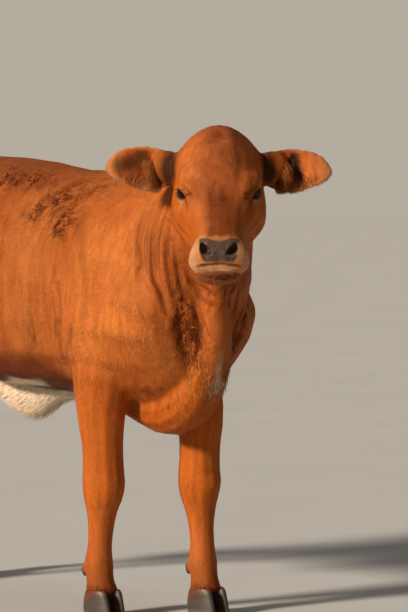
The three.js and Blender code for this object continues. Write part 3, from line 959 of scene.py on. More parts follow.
        # painted shade inside the nostrils
        return mix(colour, Tone.NOSTRIL.rgb, self.nostril(at))

    def nostril(self, at: Places) -> Array:
        """One inside the nostrils, zero outside."""
        return at.head * step(10.0, 7.6, MUZZLE.nostril_distance(at.face)) * (at.face[:, 0] > 0.16)

    def bare(self, at: Places) -> Array:
        """One where the hide is wet leather without hair."""
        return MUZZLE.pad(at.face) * at.head * (1 - self.nostril(at))


MARKINGS = Markings()


# ---- The hide ----------------------------------------------------------------------------------------


@dataclass(frozen=True)
class Swell:
    """A soft rise or hollow: its middle, its reach and how far it lifts, in millimetres."""

    at: Point
    reach: Point
    rise: float

    def lift(self, points: Array) -> Array:
        """How far it moves each point outwards, on both sides of the body, in metres."""
        total = blob(points, self.at, self.reach)
        if self.at[1]:
            x, y, z = self.at
            total = total + blob(points, (x, -y, z), self.reach)
        return total * self.rise * MM


@dataclass(frozen=True)
class Crease:
    """A fold of the skin: a path, how wide and how deep, in millimetres, and whether it is on both sides."""

    path: Path
    width: float
    depth: float
    both: bool = True

    def near(self, points: Array, detail: int, reach: float) -> Iterator[tuple[Array, Array, Array]]:
        """Measures points against the fold, on each side that has it.

        Args:
            points: the points, in metres.
            detail: points of the smooth path for each knot.
            reach: how far off still counts, in metres.

        Yields:
            Which points are near, how far off those are, and the fold's strength beside them.
        """
        knots = np.array(self.path) * MM
        for mirror in (1, -1) if self.both else (1,):
            path = curve_through(knots * [1, mirror, 1], detail * len(knots))
            near = np.all((points > path.min(0) - reach) & (points < path.max(0) + reach), axis=1)
            away, along = near_path(points[near], path)
            yield near, away, np.clip(np.sin(np.pi * np.clip(along, 0.02, 0.98)), 0, 1) ** 0.6

    def lift(self, points: Array) -> Array:
        """How far it moves each point outwards, in metres: a groove between two soft lips."""
        total = np.zeros(len(points))
        for near, away, fade in self.near(points, 5, 4 * self.width * MM):
            away = away / (self.width * MM)
            lips = 0.38 * np.exp(-(((away - 1.9) / 0.9) ** 2))
            total[near] += fade * (lips - np.exp(-away * away)) * self.depth * MM
        return total

    def shade(self, points: Array) -> Array:
        """How deep in the fold each point lies, from 0 to 1."""
        total = np.zeros(len(points))
        width = (0.55 * self.width + 0.35 * self.depth) * MM
        for near, away, fade in self.near(points, 4, 2 * width):
            total[near] += fade * np.exp(-((away / width) ** 2)) * min(self.depth / 6, 1)
        return total


def pleats(first: Path, last: Path, count: int, width: float, depth: float) -> list[Crease]:
    """A row of like folds between two others.

    Args:
        first: path of the fold before the row.
        last: path of the fold after it, with as many points.
        count: how many lie between.
        width: of each, in millimetres.
        depth: of each, in millimetres.

    Returns:
        The folds between the two, without them.
    """
    start, end = np.array(first), np.array(last)
    shares = np.arange(1, count + 1) / (count + 1)
    return [Crease(tuple(map(tuple, start + (end - start) * share)), width, depth) for share in shares]


# the deep fold of the neck behind the jaw, down to the brisket
NECK_FOLD: Path = ((160, -97, 958), (153, -113, 899), (158, -122, 839), (170, -126, 788), (200, -116, 712))


@dataclass(frozen=True)
class Sculpt:
    """The forms that the hide shows and the plain solids don't."""

    body_swells: tuple[Swell, ...] = (
        Swell((-30, 150, 840), (60, 60, 130), 5),
        Swell((-130, 175, 760), (36, 60, 110), -5),
        Swell((60, 150, 780), (50, 60, 90), -4),
        Swell((-300, 190, 700), (60, 60, 130), 2.5),
        Swell((-600, 185, 760), (50, 50, 120), -4),
        Swell((-700, 160, 800), (70, 60, 90), 4),
        Swell((-560, 150, 600), (60, 60, 40), -6),
        Swell((-430, 0, 1062), (260, 18, 30), 1.5),
        Swell((190, 95, 860), (60, 60, 60), 4),
        Swell((262, 46, 778), (34, 40, 20), 4.5),
    )
    body_creases: tuple[Crease, ...] = (
        # edge of the shoulder blade, from the withers to the elbow
        Crease(
            ((-87, -78, 972), (-97, -132, 895), (-60, -150, 840), (-40, -167, 774), (-20, -182, 700)), 22, 3.0
        ),
        # fold behind the elbow and its lesser fellows
        Crease(((-138, -174, 765), (-118, -183, 700), (-116, -181, 650), (-132, -166, 596)), 8, 7.0),
        Crease(((-213, -190, 690), (-210, -184, 648), (-214, -178, 615)), 6, 4.0),
        Crease(((-165, -178, 820), (-150, -178, 740), (-146, -178, 690)), 10, 2.0),
        Crease(((-60, -165, 700), (-72, -180, 650), (-112, -158, 580)), 12, 3.0),
        # wrinkles that run down from the back over the ribs
        Crease(((-150, -40, 1012), (-200, -75, 990), (-246, -112, 960), (-250, -130, 930)), 9, 5.5),
        Crease(((-110, -60, 990), (-150, -105, 950), (-178, -130, 915)), 10, 5.0),
        Crease(((-290, -60, 1030), (-330, -100, 1002), (-350, -140, 950)), 10, 4.0),
        Crease(((-390, -60, 1034), (-430, -110, 1005), (-446, -150, 950)), 11, 4.0),
        Crease(((-500, -90, 1020), (-524, -140, 975), (-520, -170, 920)), 11, 2.5),
        # folds of the neck, from behind the ear and jaw to the brisket
        Crease(((92, -95, 940), (88, -115, 880), (108, -132, 820), (146, -158, 752)), 12, 4.0),
        Crease(NECK_FOLD, 8, 8.0),
        Crease(((188, -106, 951), (174, -116, 884), (174, -123, 832), (182, -121, 780)), 6, 5.5),
        Crease(((204, -113, 905), (198, -116, 845), (203, -113, 788), (212, -98, 728)), 7, 7.5),
        Crease(((214, -110, 866), (219, -103, 796), (224, -92, 751), (230, -76, 712)), 7, 6.5),
        Crease(((217, -96, 765), (216, -90, 708), (210, -86, 656), (204, -60, 590)), 12, 6.5),
        Crease(((232, -88, 765), (238, -62, 698), (256, -44, 640)), 7, 6.0),
        Crease(((262, -40, 800), (252, -36, 720), (272, -16, 650)), 7, 5.0),
        Crease(((176, -120, 735), (196, -112, 700), (206, -92, 672)), 6, 5.0),
        Crease(((120, -148, 720), (150, -130, 650), (160, -90, 590)), 12, 4.0),
        *pleats(
            ((92, -95, 940), (88, -115, 880), (100, -128, 830), (122, -140, 785), (146, -158, 740)),
            NECK_FOLD, 5, 4.4, 4.6,
        ),
        # the jaw stands out over the throat
        Crease(((228, -98, 812), (240, -80, 777), (262, -60, 754), (290, -38, 743)), 8, 5.5, both=False),
        # the slack skin under the belly meets it in a groove, darkened with painted shade
        Crease(((-540, -32, 500), (-420, -34, 512), (-300, -38, 514), (-190, -50, 512)), 6, 5.0),
        # flank fold in front of the stifle, groove between the thigh's muscles, tail's sides
        Crease(((-470, -150, 560), (-530, -160, 640), (-560, -176, 740)), 12, 4.0),
        Crease(((-800, -120, 900), (-806, -140, 800), (-790, -146, 700)), 10, 3.0),
        Crease(((-868, -38, 1000), (-900, -34, 950), (-902, -30, 880)), 8, 4.0),
    )
    head_swells: tuple[Swell, ...] = (
        Swell((-112, 34, 74), (34, 26, 24), 4),
        Swell((-112, 0, 74), (30, 12, 24), -5),
        Swell((-22, 26, 58), (30, 20, 20), 2),
        Swell((18, 64, 36), (24, 18, 12), 5.0),
        Swell((60, 68, -8), (44, 14, 10), 4.5),
        Swell((88, 48, 12), (40, 12, 14), -4.5),
        Swell((-8, 88, -82), (50, 40, 34), 3),
        Swell((60, 74, -84), (30, 30, 24), -3),
        Swell((-64, 90, -40), (22, 30, 50), -4),
        Swell((196, 46, 8), (15, 12, 16), 2.0),
        Swell((208, 12, 2), (10, 9, 14), 1.5),
        Swell((213, 0, -10), (10, 3.5, 10), -2.0),
        Swell((208, 24, -28), (20, 20, 8), 1.0),
        Swell((214, 0, -38), (20, 34, 8), 3.0),
        Swell((194, 62, -30), (26, 12, 26), -5.0),
        Swell((190, 56, -56), (36, 16, 14), -6.0),
    )
    mouth: Crease = Crease(
        (
            (214, -14, -14), (214, 6, -12), (214, 20, -15), (211, 34, -18), (205, 48, -25), (193, 57, -33),
            (176, 58, -42),
        ),
        3.0, 6.5,
    )
    head_creases: tuple[Crease, ...] = (
        Crease(((216, -30, -46), (219, 0, -52), (216, 30, -46)), 3.5, 2.5, both=False),
        Crease(((186, 50, -60), (160, 54, -66), (130, 52, -72)), 6, 2.0),
        # top edge of the nose pad and the wings of the nostrils
        Crease(((178, -36, 22), (182, 0, 25), (178, 36, 22)), 2.6, 1.4, both=False),
        Crease(((178, 44, 16), (190, 49, 4), (200, 44, -10), (207, 34, -16)), 3, 2.2),
        # brow and corner folds of the eye
        Crease(((4, 78, 20), (24, 69, 24), (44, 56, 20)), 4.4, 4.0),
        Crease(((-6, 84, 23), (14, 80, 25), (34, 70, 28)), 4.0, 2.0),
        Crease(((24, 76, 0), (34, 70, 4), (44, 62, 10), (50, 56, 20)), 2.6, 4.0),
        Crease(((26, 80, -8), (46, 72, -4), (66, 62, -2)), 3.6, 3.6),
        Crease(((-16, 90, -22), (6, 90, -25), (30, 82, -20)), 4.0, 1.8),
        # the forehead's hollows between the brows
        Crease(((20, 10, 50), (48, 14, 42), (72, 16, 38)), 7, 1.0),
        # jaw and cheek
        Crease(((20, 92, -48), (60, 84, -50), (104, 66, -44)), 7, 2.0),
        Crease(((-40, 80, -112), (30, 62, -116), (96, 44, -100)), 8, 2.0),
    )

    rib_pitch: float = 0.058  # metres from one rib to the next
    rib_rise: float = 0.0011
    slack: float = 0.0007  # how far the loose skin of the body rises and falls

    def shade(self, at: Places) -> Array:
        """How deep in the folds of the skin each place lies, from 0 to 1: the strength of the painted shade
        there.
        """
        body = sum(fold.shade(at.body) for fold in self.body_creases) * (1 - at.head)
        face = sum(fold.shade(at.face) for fold in self.head_creases) * at.head
        return np.clip(body + face, 0, 1)

    def rises(self, at: Places) -> Array:
        """How far the sculpted forms move each place outwards, in metres."""
        off_ears = 1 - at.on_ears()
        body = sum(form.lift(at.body) for form in (*self.body_swells, *self.body_creases))
        face = sum(form.lift(at.face) for form in (*self.head_swells, *self.head_creases, self.mouth))
        total = (body * (1 - at.head) + face * at.head) * off_ears
        ribs = np.sin(at.body[:, 0] / self.rib_pitch * 2 * math.pi + 6 * at.body[:, 2])
        on_ribs = sum(blob(at.body, (-330, out, 760), (130, 60, 130)) for out in (190, -190))
        total += self.rib_rise * ribs * on_ribs
        loose = (1 - at.head) * off_ears * step(0.45, 0.6, at.body[:, 2])
        total += loose * self.slack * waves(at.body, (90, 90, 280), 31, 11)
        return total + self.legs(at)

    def legs(self, at: Places) -> Array:
        """Tendon grooves, knee and fetlock forms of the four legs."""
        total = np.zeros(len(at.points))
        for name, foot in at.anatomy.feet.items():
            end, side = name.split("_")
            out = at.anatomy.stance[end] * (1 if side == "left" else -1)
            local = at.body - np.array([foot, out, 0]) * MM
            near = step(0.4, 0.36, local[:, 2]) * step(0.075, 0.06, np.abs(local[:, 1]))
            forms = [
                Crease(((-12, -30, 236), (-16, -29, 190), (-18, -28, 150)), 6, 2.4),
                Crease(((14, -26, 226), (13, -25, 190), (14, -25, 160)), 7, 1.2),
                Swell((8, 24, 120), (22, 14, 20), 2.0),
                Swell((-34, 0, 118), (12, 14, 20), 2.5),
                Swell((20, 0, 84), (20, 26, 12), -1.5),
            ]
            if end == "fore":
                forms += [
                    Swell((36, 0, 300), (18, 26, 16), 3.0),
                    Swell((34, 0, 332), (18, 26, 10), -2.0),
                    Swell((-48, 0, 330), (14, 18, 26), 3.5),
                    Crease(((-16, -42, 380), (-22, -44, 330), (-20, -42, 290)), 7, 2.0),
                ]
            else:
                forms += [
                    Swell((-66, 0, 418), (16, 16, 22), 3.0),
                    Swell((-26, 30, 440), (22, 18, 40), -4.0),
                    Crease(((-14, -32, 420), (-16, -33, 370), (-14, -31, 320)), 7, 2.2),
                ]
            total += near * sum(form.lift(local) for form in forms)
        return total


SCULPT = Sculpt()


@dataclass
class Hide:
    """One skin over head, neck, trunk, legs, ears and tail, parted nowhere."""

    anatomy: Anatomy
    voxel: float = 2.8 * MM
    overlap: float = 0.7 * MM  # each solid is grown by this, so that neighbours fuse
    soften_rounds: int = 110
    mound: tuple[float, float, float, float] = (0.012, 0.010, 0.015, 1)  # half sizes, in metres
    budget: int = 192_000  # triangles

    @property
    def nodes(self) -> list[str]:
        """The CAD nodes of flesh."""
        others = ("eye", "claw", "switch")
        return [name for name in sorted(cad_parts) if not any(word in name for word in others)]

    def fused(self) -> bpy.types.Mesh:
        """The solids of flesh as one closed surface, with the eye sockets filled."""
        whole = bmesh.new()
        for name in self.nodes:
            part = bmesh.new()
            part.from_mesh(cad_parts[name].data)
            bmesh.ops.remove_doubles(part, verts=part.verts, dist=0.01 * MM)
            part.normal_update()
            for vertex in part.verts:
                vertex.co += vertex.normal * self.overlap
            scratch = mesh_of(part, name + " grown")
            whole.from_mesh(scratch)
            bpy.data.meshes.remove(scratch)
        for centre in self.anatomy.eyes.values():
            bmesh.ops.create_uvsphere(
                whole, u_segments=32, v_segments=20, radius=EyePolar.RADIUS + MM,
                matrix=Matrix.Translation(Vector(centre)),
            )
        for side in Side:
            self.ear_base(whole, side)
        self.dewclaw_mounds(whole)
        piece = placed("shells", mesh_of(whole, "shells"))
        remesh = piece.modifiers.new("fuse", "REMESH")
        remesh.mode = "VOXEL"
        remesh.voxel_size = self.voxel
        return settled(piece)

    def dewclaw_mounds(self, whole: bmesh.types.BMesh) -> None:
        """Adds the pad of flesh that each dewclaw grows from."""
        for name in sorted(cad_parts):
            if "dewclaw" in name:
                low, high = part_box(name)
                place = (low + high) / 2 + Vector((6, 0, 5)) * MM
                bmesh.ops.create_uvsphere(
                    whole, u_segments=16, v_segments=12, radius=1,
                    matrix=Matrix.Translation(place) @ Matrix.Diagonal(self.mound),
                )

    def ear_base(self, whole: bmesh.types.BMesh, side: Side) -> None:
        """Adds the furry fold that wraps the front of an ear's base."""
        made = bmesh.ops.create_uvsphere(whole, u_segments=24, v_segments=16, radius=1)["verts"]
        shape = np.array([vertex.co for vertex in made]) * np.array([16, 52, 36]) * MM
        turned = shape @ rotation("X", 24).T + np.array([0, 18, 4]) * MM
        for vertex, spot in zip(made, self.anatomy.ear(side).world(turned)):
            vertex.co = spot
        if side is Side.RIGHT:
            faces = {face for vertex in made for face in vertex.link_faces}
            bmesh.ops.reverse_faces(whole, faces=list(faces))

    def places(self, mesh: bpy.types.Mesh) -> Places:
        """The mesh's vertices as places on the animal."""
        return Places(points_of(mesh), normals_of(mesh), self.anatomy)

    def softened(self, mesh: bpy.types.Mesh) -> bpy.types.Mesh:
        """Rounds off the flats of the solids, most on the broad trunk and least on the head and ears."""
        at = self.places(mesh)
        z = at.body[:, 2]
        weight = 0.22 + 0.78 * step(0.46, 0.62, z)
        weight *= 1 - 0.72 * at.head
        weight = np.where(at.face[:, 0] > 0.14, np.minimum(weight, 1 - 0.86 * at.head), weight)
        weight *= 1 - 0.6 * at.on_ears()
        weight *= 1 - 0.75 * step(-0.905, -0.925, at.body[:, 0])
        piece = placed("soft", mesh)
        weigh(piece, "soft", weight)
        smooth = piece.modifiers.new("soften", "SMOOTH")
        smooth.factor = 0.5
        smooth.iterations = self.soften_rounds
        smooth.vertex_group = "soft"
        return settled(piece)

    def trim_ears(self, mesh: bpy.types.Mesh) -> None:
        """Brings the lower rims of the ears in towards their tips."""
        at = self.places(mesh)
        points = at.points
        for side in Side:
            local = at.ears[side].copy()
            share = EAR_TAPER * step(*EAR_TAPERING, local[:, 1]) * (local[:, 2] < 0) * at.on_ear(side)
            local[:, 2] *= 1 - share
            moved = share > 0
            points[moved] = self.anatomy.ear(side).world(local[moved])
        move_points(mesh, points)

    def refined(self, mesh: bpy.types.Mesh) -> bpy.types.Mesh:
        """Cuts the faces finer round the eyes, nose and mouth."""
        head, eyes = self.anatomy.head, self.anatomy.eyes.values()
        work = bmesh.new()
        work.from_mesh(mesh)
        for eye_reach, snout in ((36 * MM, 0.158), (27 * MM, 9.0)):
            spots = np.array([vertex.co for vertex in work.verts])
            close = np.min([np.linalg.norm(spots - eye, axis=1) for eye in eyes], axis=0) < eye_reach
            face = head.local(spots)
            close |= (face[:, 0] > snout) & (np.abs(face[:, 1]) < 0.09)
            edges = [edge for edge in work.edges if all(close[vertex.index] for vertex in edge.verts)]
            bmesh.ops.subdivide_edges(work, edges=edges, cuts=1, use_grid_fill=True, smooth=0.0)
            work.verts.index_update()
        bmesh.ops.triangulate(work, faces=work.faces)
        work.to_mesh(mesh)
        work.free()
        return mesh

    def lids(self, mesh: bpy.types.Mesh) -> None:
        """Opens the lids over the eyeballs: thin rolled rims round an almond opening."""
        points = points_of(mesh)
        radius = EyePolar.RADIUS
        for side in Side:
            polar = EyePolar.around(points, self.anatomy, side)
            rim = polar.rim
            front = (polar.distance < 0.045) & (np.abs(polar.nasal) < math.radians(120))
            upper = step(-0.1, 0.1, polar.rise)
            roll = (1.1 + 0.7 * upper) * MM * np.exp(-(((rim - 3.0 * MM) / (2.1 * MM)) ** 2))
            sulcus = 2.0 * MM * np.exp(-(((rim - 8.5 * MM) / (2.0 * MM)) ** 2)) * upper
            lid = radius + 1.7 * MM + roll - sulcus
            edge = step(-0.5 * MM, 0.4 * MM, rim)
            opened = (radius - 2.4 * MM) * (1 - edge) + lid * edge
            outer = np.maximum(polar.distance, radius + 1.0 * MM)
            blend = step(5 * MM, 15 * MM, rim)
            distance = opened * (1 - blend) + outer * blend
            eye = EyePolar.axes(self.anatomy, side)
            moved = eye.world(polar.direction * distance[:, None])
            points[front] = moved[front]
        move_points(mesh, points)

    def clear_eyes(self, mesh: bpy.types.Mesh) -> None:
        """Keeps the folds round the eyes outside the eyeballs."""
        points = points_of(mesh)
        for side in Side:
            polar = EyePolar.around(points, self.anatomy, side)
            least = EyePolar.RADIUS + 0.9 * MM
            sunk = (polar.rim > 0.3 * MM) & (polar.distance < least)
            sunk &= np.abs(polar.nasal) < math.radians(100)
            eye = EyePolar.axes(self.anatomy, side)
            points[sunk] = eye.world(polar.direction[sunk] * least)
        move_points(mesh, points)

    def nostrils(self, mesh: bpy.types.Mesh) -> None:
        """Sinks the nostrils and raises their wings."""
        points = points_of(mesh)
        head = self.anatomy.head
        face = head.local(points)
        away = MUZZLE.nostril_distance(face)
        inward = unit(np.array([-0.86, -0.1, -0.5]))
        mirror = np.where(face[:, 1:2] < 0, [1, -1, 1], [1, 1, 1])
        depth = 15 * MM * np.exp(-((away / 8.0) ** 4)) * (face[:, 0] > 0.165)
        face = face + inward * mirror * depth[:, None]
        lift = 1.4 * MM * np.exp(-(((away - 11.5) / 2.6) ** 2)) * (face[:, 0] > 0.165)
        face = face + np.array([0.8, 0.3, 0.35]) * mirror * lift[:, None]
        move_points(mesh, head.world(face))

    def inset(self, at: Places) -> Array:
        """Depth of the coat at each place, in metres."""
        x, _, z = at.body.T
        depth = np.full(len(x), 2.2 * MM)
        depth += 1.5 * MM * blob(at.body, (200, 0, 540), (90, 90, 90))
        depth = depth * (1 - 0.6 * at.head)
        depth = np.where(at.head > 0.5, depth * (1 - 0.9 * step(0.13, 0.16, at.face[:, 0])), depth)
        depth -= 1.2 * MM * step(0.5, 0.3, z)
        for side in Side:
            depth *= 1 - 0.9 * at.on_ear(side)
            depth *= step(6, 16, at.off_lids(side)) * 0.9 + 0.1
        return np.maximum(depth, 0)

    def thinned(self, mesh: bpy.types.Mesh) -> bpy.types.Mesh:
        """Brings the mesh to its budget, taking least from the face."""
        at = self.places(mesh)
        neck = step(0.04, 0.1, at.body[:, 0]) * step(0.5, 0.56, at.body[:, 2]) * (1 - at.head)
        keep = 0.90 * at.head + 0.2 * step(0.5, 0.4, at.body[:, 2]) + 0.34 * neck + 0.27
        keep = np.maximum(keep, np.where(at.face[:, 0] > 0.14, at.head, 0))
        for side in Side:
            keep = np.maximum(keep, 0.8 * at.on_ear(side))
            keep = np.maximum(keep, step(20, 8, at.off_lids(side)) * at.head)
        piece = placed("thin", mesh)
        weigh(piece, "give", 1 - np.clip(keep, 0, 0.985))
        thin = piece.modifiers.new("thin", "DECIMATE")
        thin.ratio = self.budget / len(mesh.polygons)
        thin.vertex_group = "give"
        thin.vertex_group_factor = 1.0
        return settled(piece)

    def build(self) -> bpy.types.Object:
        """Makes, sculpts, paints and shows the hide.

        Returns:
            The piece, which stands for every node of flesh.
        """
        mesh = self.refined(self.softened(self.fused()))
        self.trim_ears(mesh)
        self.lids(mesh)
        at = self.places(mesh)
        lift = SCULPT.rises(at)
        for side in Side:
            lift *= step(3, 9, at.off_lids(side)) * at.head + (1 - at.head)
        move_points(mesh, at.points + at.normals * (lift - self.inset(at))[:, None])
        self.clear_eyes(mesh)
        self.nostrils(mesh)
        mesh = self.thinned(mesh)
        at = self.places(mesh)
        paint(mesh, "tint", MARKINGS.skin(at))
        mesh.shade_smooth()
        paint(mesh, "bare", np.repeat(MARKINGS.bare(at)[:, None], 3, axis=1))
        return show("hide", mesh, HIDE, "coat", *self.nodes)


# ---- The coat ----------------------------------------------------------------------------------------


@dataclass(frozen=True)
class Lie:
    """Which way the hair lies."""

    whorl: Point = (-30, 0, 58)

    def ways(self, at: Places) -> Array:
        """The direction of the hair at each place, along the surface."""
        x, y, z = at.body.T
        trunk = np.column_stack([np.full(len(x), -0.6), 0 * y, np.full(len(x), -0.8)])
        neck = np.array([-0.35, 0, -1.0])
        leg = np.array([-0.1, 0, -1.0])
        way = mix(trunk, neck, step(-0.1, 0.1, x))
        way = mix(way, leg, step(0.66, 0.5, z) * (np.abs(y) > 0.05))
        way = mix(way, leg, step(-0.74, -0.84, x))
        under = step(0.56, 0.5, z) * (np.abs(y) < 0.1) * step(0.06, -0.1, x)
        way = mix(way, np.array([-1.0, 0, -0.1]), under)
        way = mix(way, self.face(at), at.head)
        for side in Side:
            way = mix(way, self.ear(at, side), at.on_ear(side))
        swing = 0.09 * waves(at.body, (170, 170, 240), 41) + 0.02 * waves(at.body, (40, 40, 60), 42)
        swing += 1.1 * waves(at.body, (30, 30, 36), 43) * self.curly(at)
        way = unit(way - at.normals * np.sum(way * at.normals, axis=1, keepdims=True))
        across = np.cross(at.normals, way)
        return unit(way * np.cos(swing)[:, None] + across * np.sin(swing)[:, None])

    def curly(self, at: Places) -> Array:
        """One where the coat curls in clumps, zero where it is sleek."""
        both = to_right(at.body)
        total = sum(share * blob(both, middle, reach) for middle, reach, share in MARKINGS.curls)
        total = total + 0.8 * blob(at.body, (230, 0, 560), (40, 40, 60))
        total = total + 0.3 * at.head * blob(at.face, (-104, 0, 66), (44, 44, 40))
        return np.clip(total, 0, 1)

    def face(self, at: Places) -> Array:
        """The lie on the head: out from the whorl, down the nose, down and back over the cheeks."""
        face = at.face
        out = face - np.array(self.whorl) * MM
        out[:, 1] *= 0.8
        low = step(0.03, -0.03, face[:, 2])
        cheek = np.column_stack([-0.45 + 0.9 * step(0.1, 0.17, face[:, 0]), 0 * low, 0 * low - 1.0])
        way = mix(unit(out), cheek, low)
        bridge = step(0.02, 0.05, face[:, 0]) * (1 - low)
        way = mix(way, np.array([1.0, 0, 0]), 0.6 * bridge)
        return at.anatomy.head.turned(way)

    def ear(self, at: Places, side: Side) -> Array:
        """The lie on an ear: from root to tip, spreading to the rims."""
        z = at.ears[side][:, 2]
        way = np.column_stack([0 * z, 0 * z + 1.0, z / 0.05 * 0.5])
        return at.anatomy.ear(side).turned(way)


@dataclass(frozen=True)
class Form:
    """Length, width and lift of the tufts at each place, in metres."""

    length: Array
    width: Array
    lift: Array

    @classmethod
    def at(cls, at: Places) -> "Form":
        """Works the forms out for each place."""
        x, y, z = at.body.T
        length = np.full(len(x), 10.0)
        length += 5 * Lie().curly(at)
        length += 4 * step(0.56, 0.5, z) * (np.abs(y) < 0.14) * step(-0.05, -0.15, x)
        length += 5 * blob(at.body, (220, 0, 540), (60, 70, 70))
        length = length * (1 - 0.45 * step(0.6, 0.42, z) * (np.abs(y) > 0.06))
        length *= 1 - 0.25 * step(0.25, 0.1, z)
        coronet = step(0.084, 0.07, z)
        length += 9 * coronet
        length = length * (1 - at.head) + at.head * (8.5 - 3.4 * step(-0.06, 0.05, at.face[:, 0]))
        length = length * (1 - 0.45 * at.head * step(0.12, 0.17, at.face[:, 0]))
        for side in Side:
            ear = at.on_ear(side)
            length = length * (1 - ear) + ear * 7.0
            near = step(22, 6, at.off_lids(side)) * at.head
            length *= 1 - 0.5 * near
        width = 0.055 * length + 0.52 + 0.5 * Lie().curly(at)
        lift = 0.014 + 0.22 * Lie().curly(at) + 0.14 * coronet
        return cls(length * MM, width * MM, lift)


@dataclass(frozen=True)
class Chart:
    """An unwrap of part of the skin: a cylinder's length and angle, laid in a box of the map."""

    axes: Axes
    low: float
    high: float
    box: tuple[float, float, float, float] = (0, 0, 1, 1)

    def spots(self, points: Array) -> Array:
        """Each point's place on the map."""
        x, y, z = self.axes.local(points).T
        u = np.clip((x - self.low) / (self.high - self.low), 0, 1)
        v = np.arctan2(y, z) / (2 * math.pi) + 0.5
        left, bottom, right, top = self.box
        margin = 0.01
        across = left + margin + (right - left - 2 * margin) * u
        up = bottom + margin + (top - bottom - 2 * margin) * v
        return np.column_stack([across, up])


def soothe(mesh: bpy.types.Mesh, normals: Array, calm: float) -> None:
    """Turns the shading of equal small solids towards the hide that each grows on.

    Args:
        mesh: the solids, the same count of vertices in each.
        normals: the hide's direction under each solid.
        calm: the hide's share, 0 to 1.
    """
    own = normals_of(mesh).reshape(len(normals), -1, 3)
    shaded = unit(own * (1 - calm) + normals[:, None] * calm)
    mesh.normals_split_custom_set_from_vertices(shaded.reshape(-1, 3))


@dataclass
class Coat:
    """Thousands of small closed tufts that lie along the hide, in one piece."""

    name: str
    anatomy: Anatomy
    wanted: Callable[[Places], Array]
    chart: Callable[[Places], Array]
    tufts: int
    seed: int
    ruffle: float = 0.09  # radians that single tufts stray
    calm: float = 0.5  # share of the hide's own direction in how a tuft takes the light

    # one tuft: root, two shoulders, ridge, tip, as shares along, across and above
    CORNERS = np.array([[0, 0, -0.3], [0.36, 0.5, 0.0], [0.36, -0.5, 0.0], [0.42, 0.0, 0.10], [1, 0, 0]])
    FACES = np.array([[0, 3, 1], [0, 2, 3], [0, 1, 2], [4, 1, 3], [4, 3, 2], [4, 2, 1]])
    PATCH = np.array([[0, -1.0], [-1.0, 0.1], [1.0, 0.0], [0.15, 0.25], [0, 1.0]]) * 0.0015

    def roots(self, hide: "HideSurface") -> Places:
        """Picks the tufts' roots evenly over the wanted part of the hide."""
        rng = np.random.default_rng(self.seed)
        share = np.cumsum(hide.areas * np.clip(self.wanted(hide.middles), 0, None))
        marks = (np.arange(self.tufts) + rng.random(self.tufts)) / self.tufts * share[-1]
        face = np.minimum(np.searchsorted(share, marks), len(share) - 1)
        a, b = rng.random((2, self.tufts))
        folded = a + b > 1
        a, b = np.where(folded, 1 - a, a), np.where(folded, 1 - b, b)
        weights = np.column_stack([1 - a - b, a, b])[:, :, None]
        corners = hide.faces[face]
        points = (hide.points[corners] * weights).sum(axis=1)
        normals = unit((hide.normals[corners] * weights).sum(axis=1))
        return Places(points, normals, self.anatomy)

    def build(self, hide: "HideSurface") -> bpy.types.Object:
        """Grows the tufts on the hide and shows them."""
        at = self.roots(hide)
        rng = np.random.default_rng(self.seed + 1000)
        count = self.tufts
        form = Form.at(at)
        way = Lie().ways(at)
        across = np.cross(at.normals, way)
        stray = rng.normal(0, self.ruffle, count)[:, None]
        way = unit(way * np.cos(stray) + across * np.sin(stray))
        across = np.cross(at.normals, way)
        length = form.length * rng.uniform(0.7, 1.25, count)
        width = form.width * rng.uniform(0.75, 1.25, count)
        lift = form.lift * rng.uniform(0.5, 1.5, count) * (1 + 3 * (rng.random(count) < 0.06))
        bend = rng.normal(0, 0.08, count)
        frame_of = np.stack([way, across, at.normals], axis=1)
        shape = np.repeat(self.CORNERS[None], count, axis=0)
        local = np.empty((count, 5, 3))
        local[..., 0] = shape[..., 0] * length[:, None]
        local[..., 1] = shape[..., 1] * width[:, None] + (bend * length)[:, None] * shape[..., 0] ** 2
        local[..., 2] = shape[..., 2] * width[:, None] + (lift * length)[:, None] * shape[..., 0] + 0.1 * MM
        points = at.points[:, None] + np.einsum("nij,njk->nik", local, frame_of)
        faces = self.FACES[None] + 5 * np.arange(count)[:, None, None]
        mesh = many_solids(self.name, points.reshape(-1, 3), faces.reshape(-1, 3))
        soothe(mesh, at.normals, self.calm)
        paint(mesh, "tint", self.tints(at, rng).reshape(-1, 3))
        spots = self.chart(at)[:, None] + self.PATCH[None]
        unwrap(mesh, spots.reshape(-1, 2))
        return show(self.name, mesh, HAIR, "coat")

    def tints(self, at: Places, rng: np.random.Generator) -> Array:
        """A colour for each corner: the marking, darker at the root with painted shade among the tufts and
        paler to the tip, each tuft its own.
        """
        base = MARKINGS.coat(at)
        spread = 0.10 + 0.27 * Lie().curly(at)[:, None]
        own = 1 + rng.normal(0, 1, (len(base), 1)) * spread
        base = base * np.clip(own, 0.5, 1.8)
        # painted shade at the root, paler to the tip
        along = np.array([0.94, 0.98, 0.98, 1.01, 1.04])
        return base[:, None] * along[None, :, None]


@dataclass(frozen=True)
class HideSurface:
    """The finished hide as arrays, for growing hair on."""

    points: Array
    normals: Array
    faces: Array
    areas: Array
    middles: Places

    @classmethod
    def of(cls, hide: bpy.types.Object, anatomy: Anatomy) -> "HideSurface":
        """Reads the hide's mesh."""
        points, normals, faces = points_of(hide.data), normals_of(hide.data), triangles_of(hide.data)
        corners = points[faces]
        cross = np.cross(corners[:, 1] - corners[:, 0], corners[:, 2] - corners[:, 0])
        areas = np.linalg.norm(cross, axis=1) / 2
        middles = Places(corners.mean(axis=1), unit(cross), anatomy)
        return cls(points, normals, faces, areas, middles)


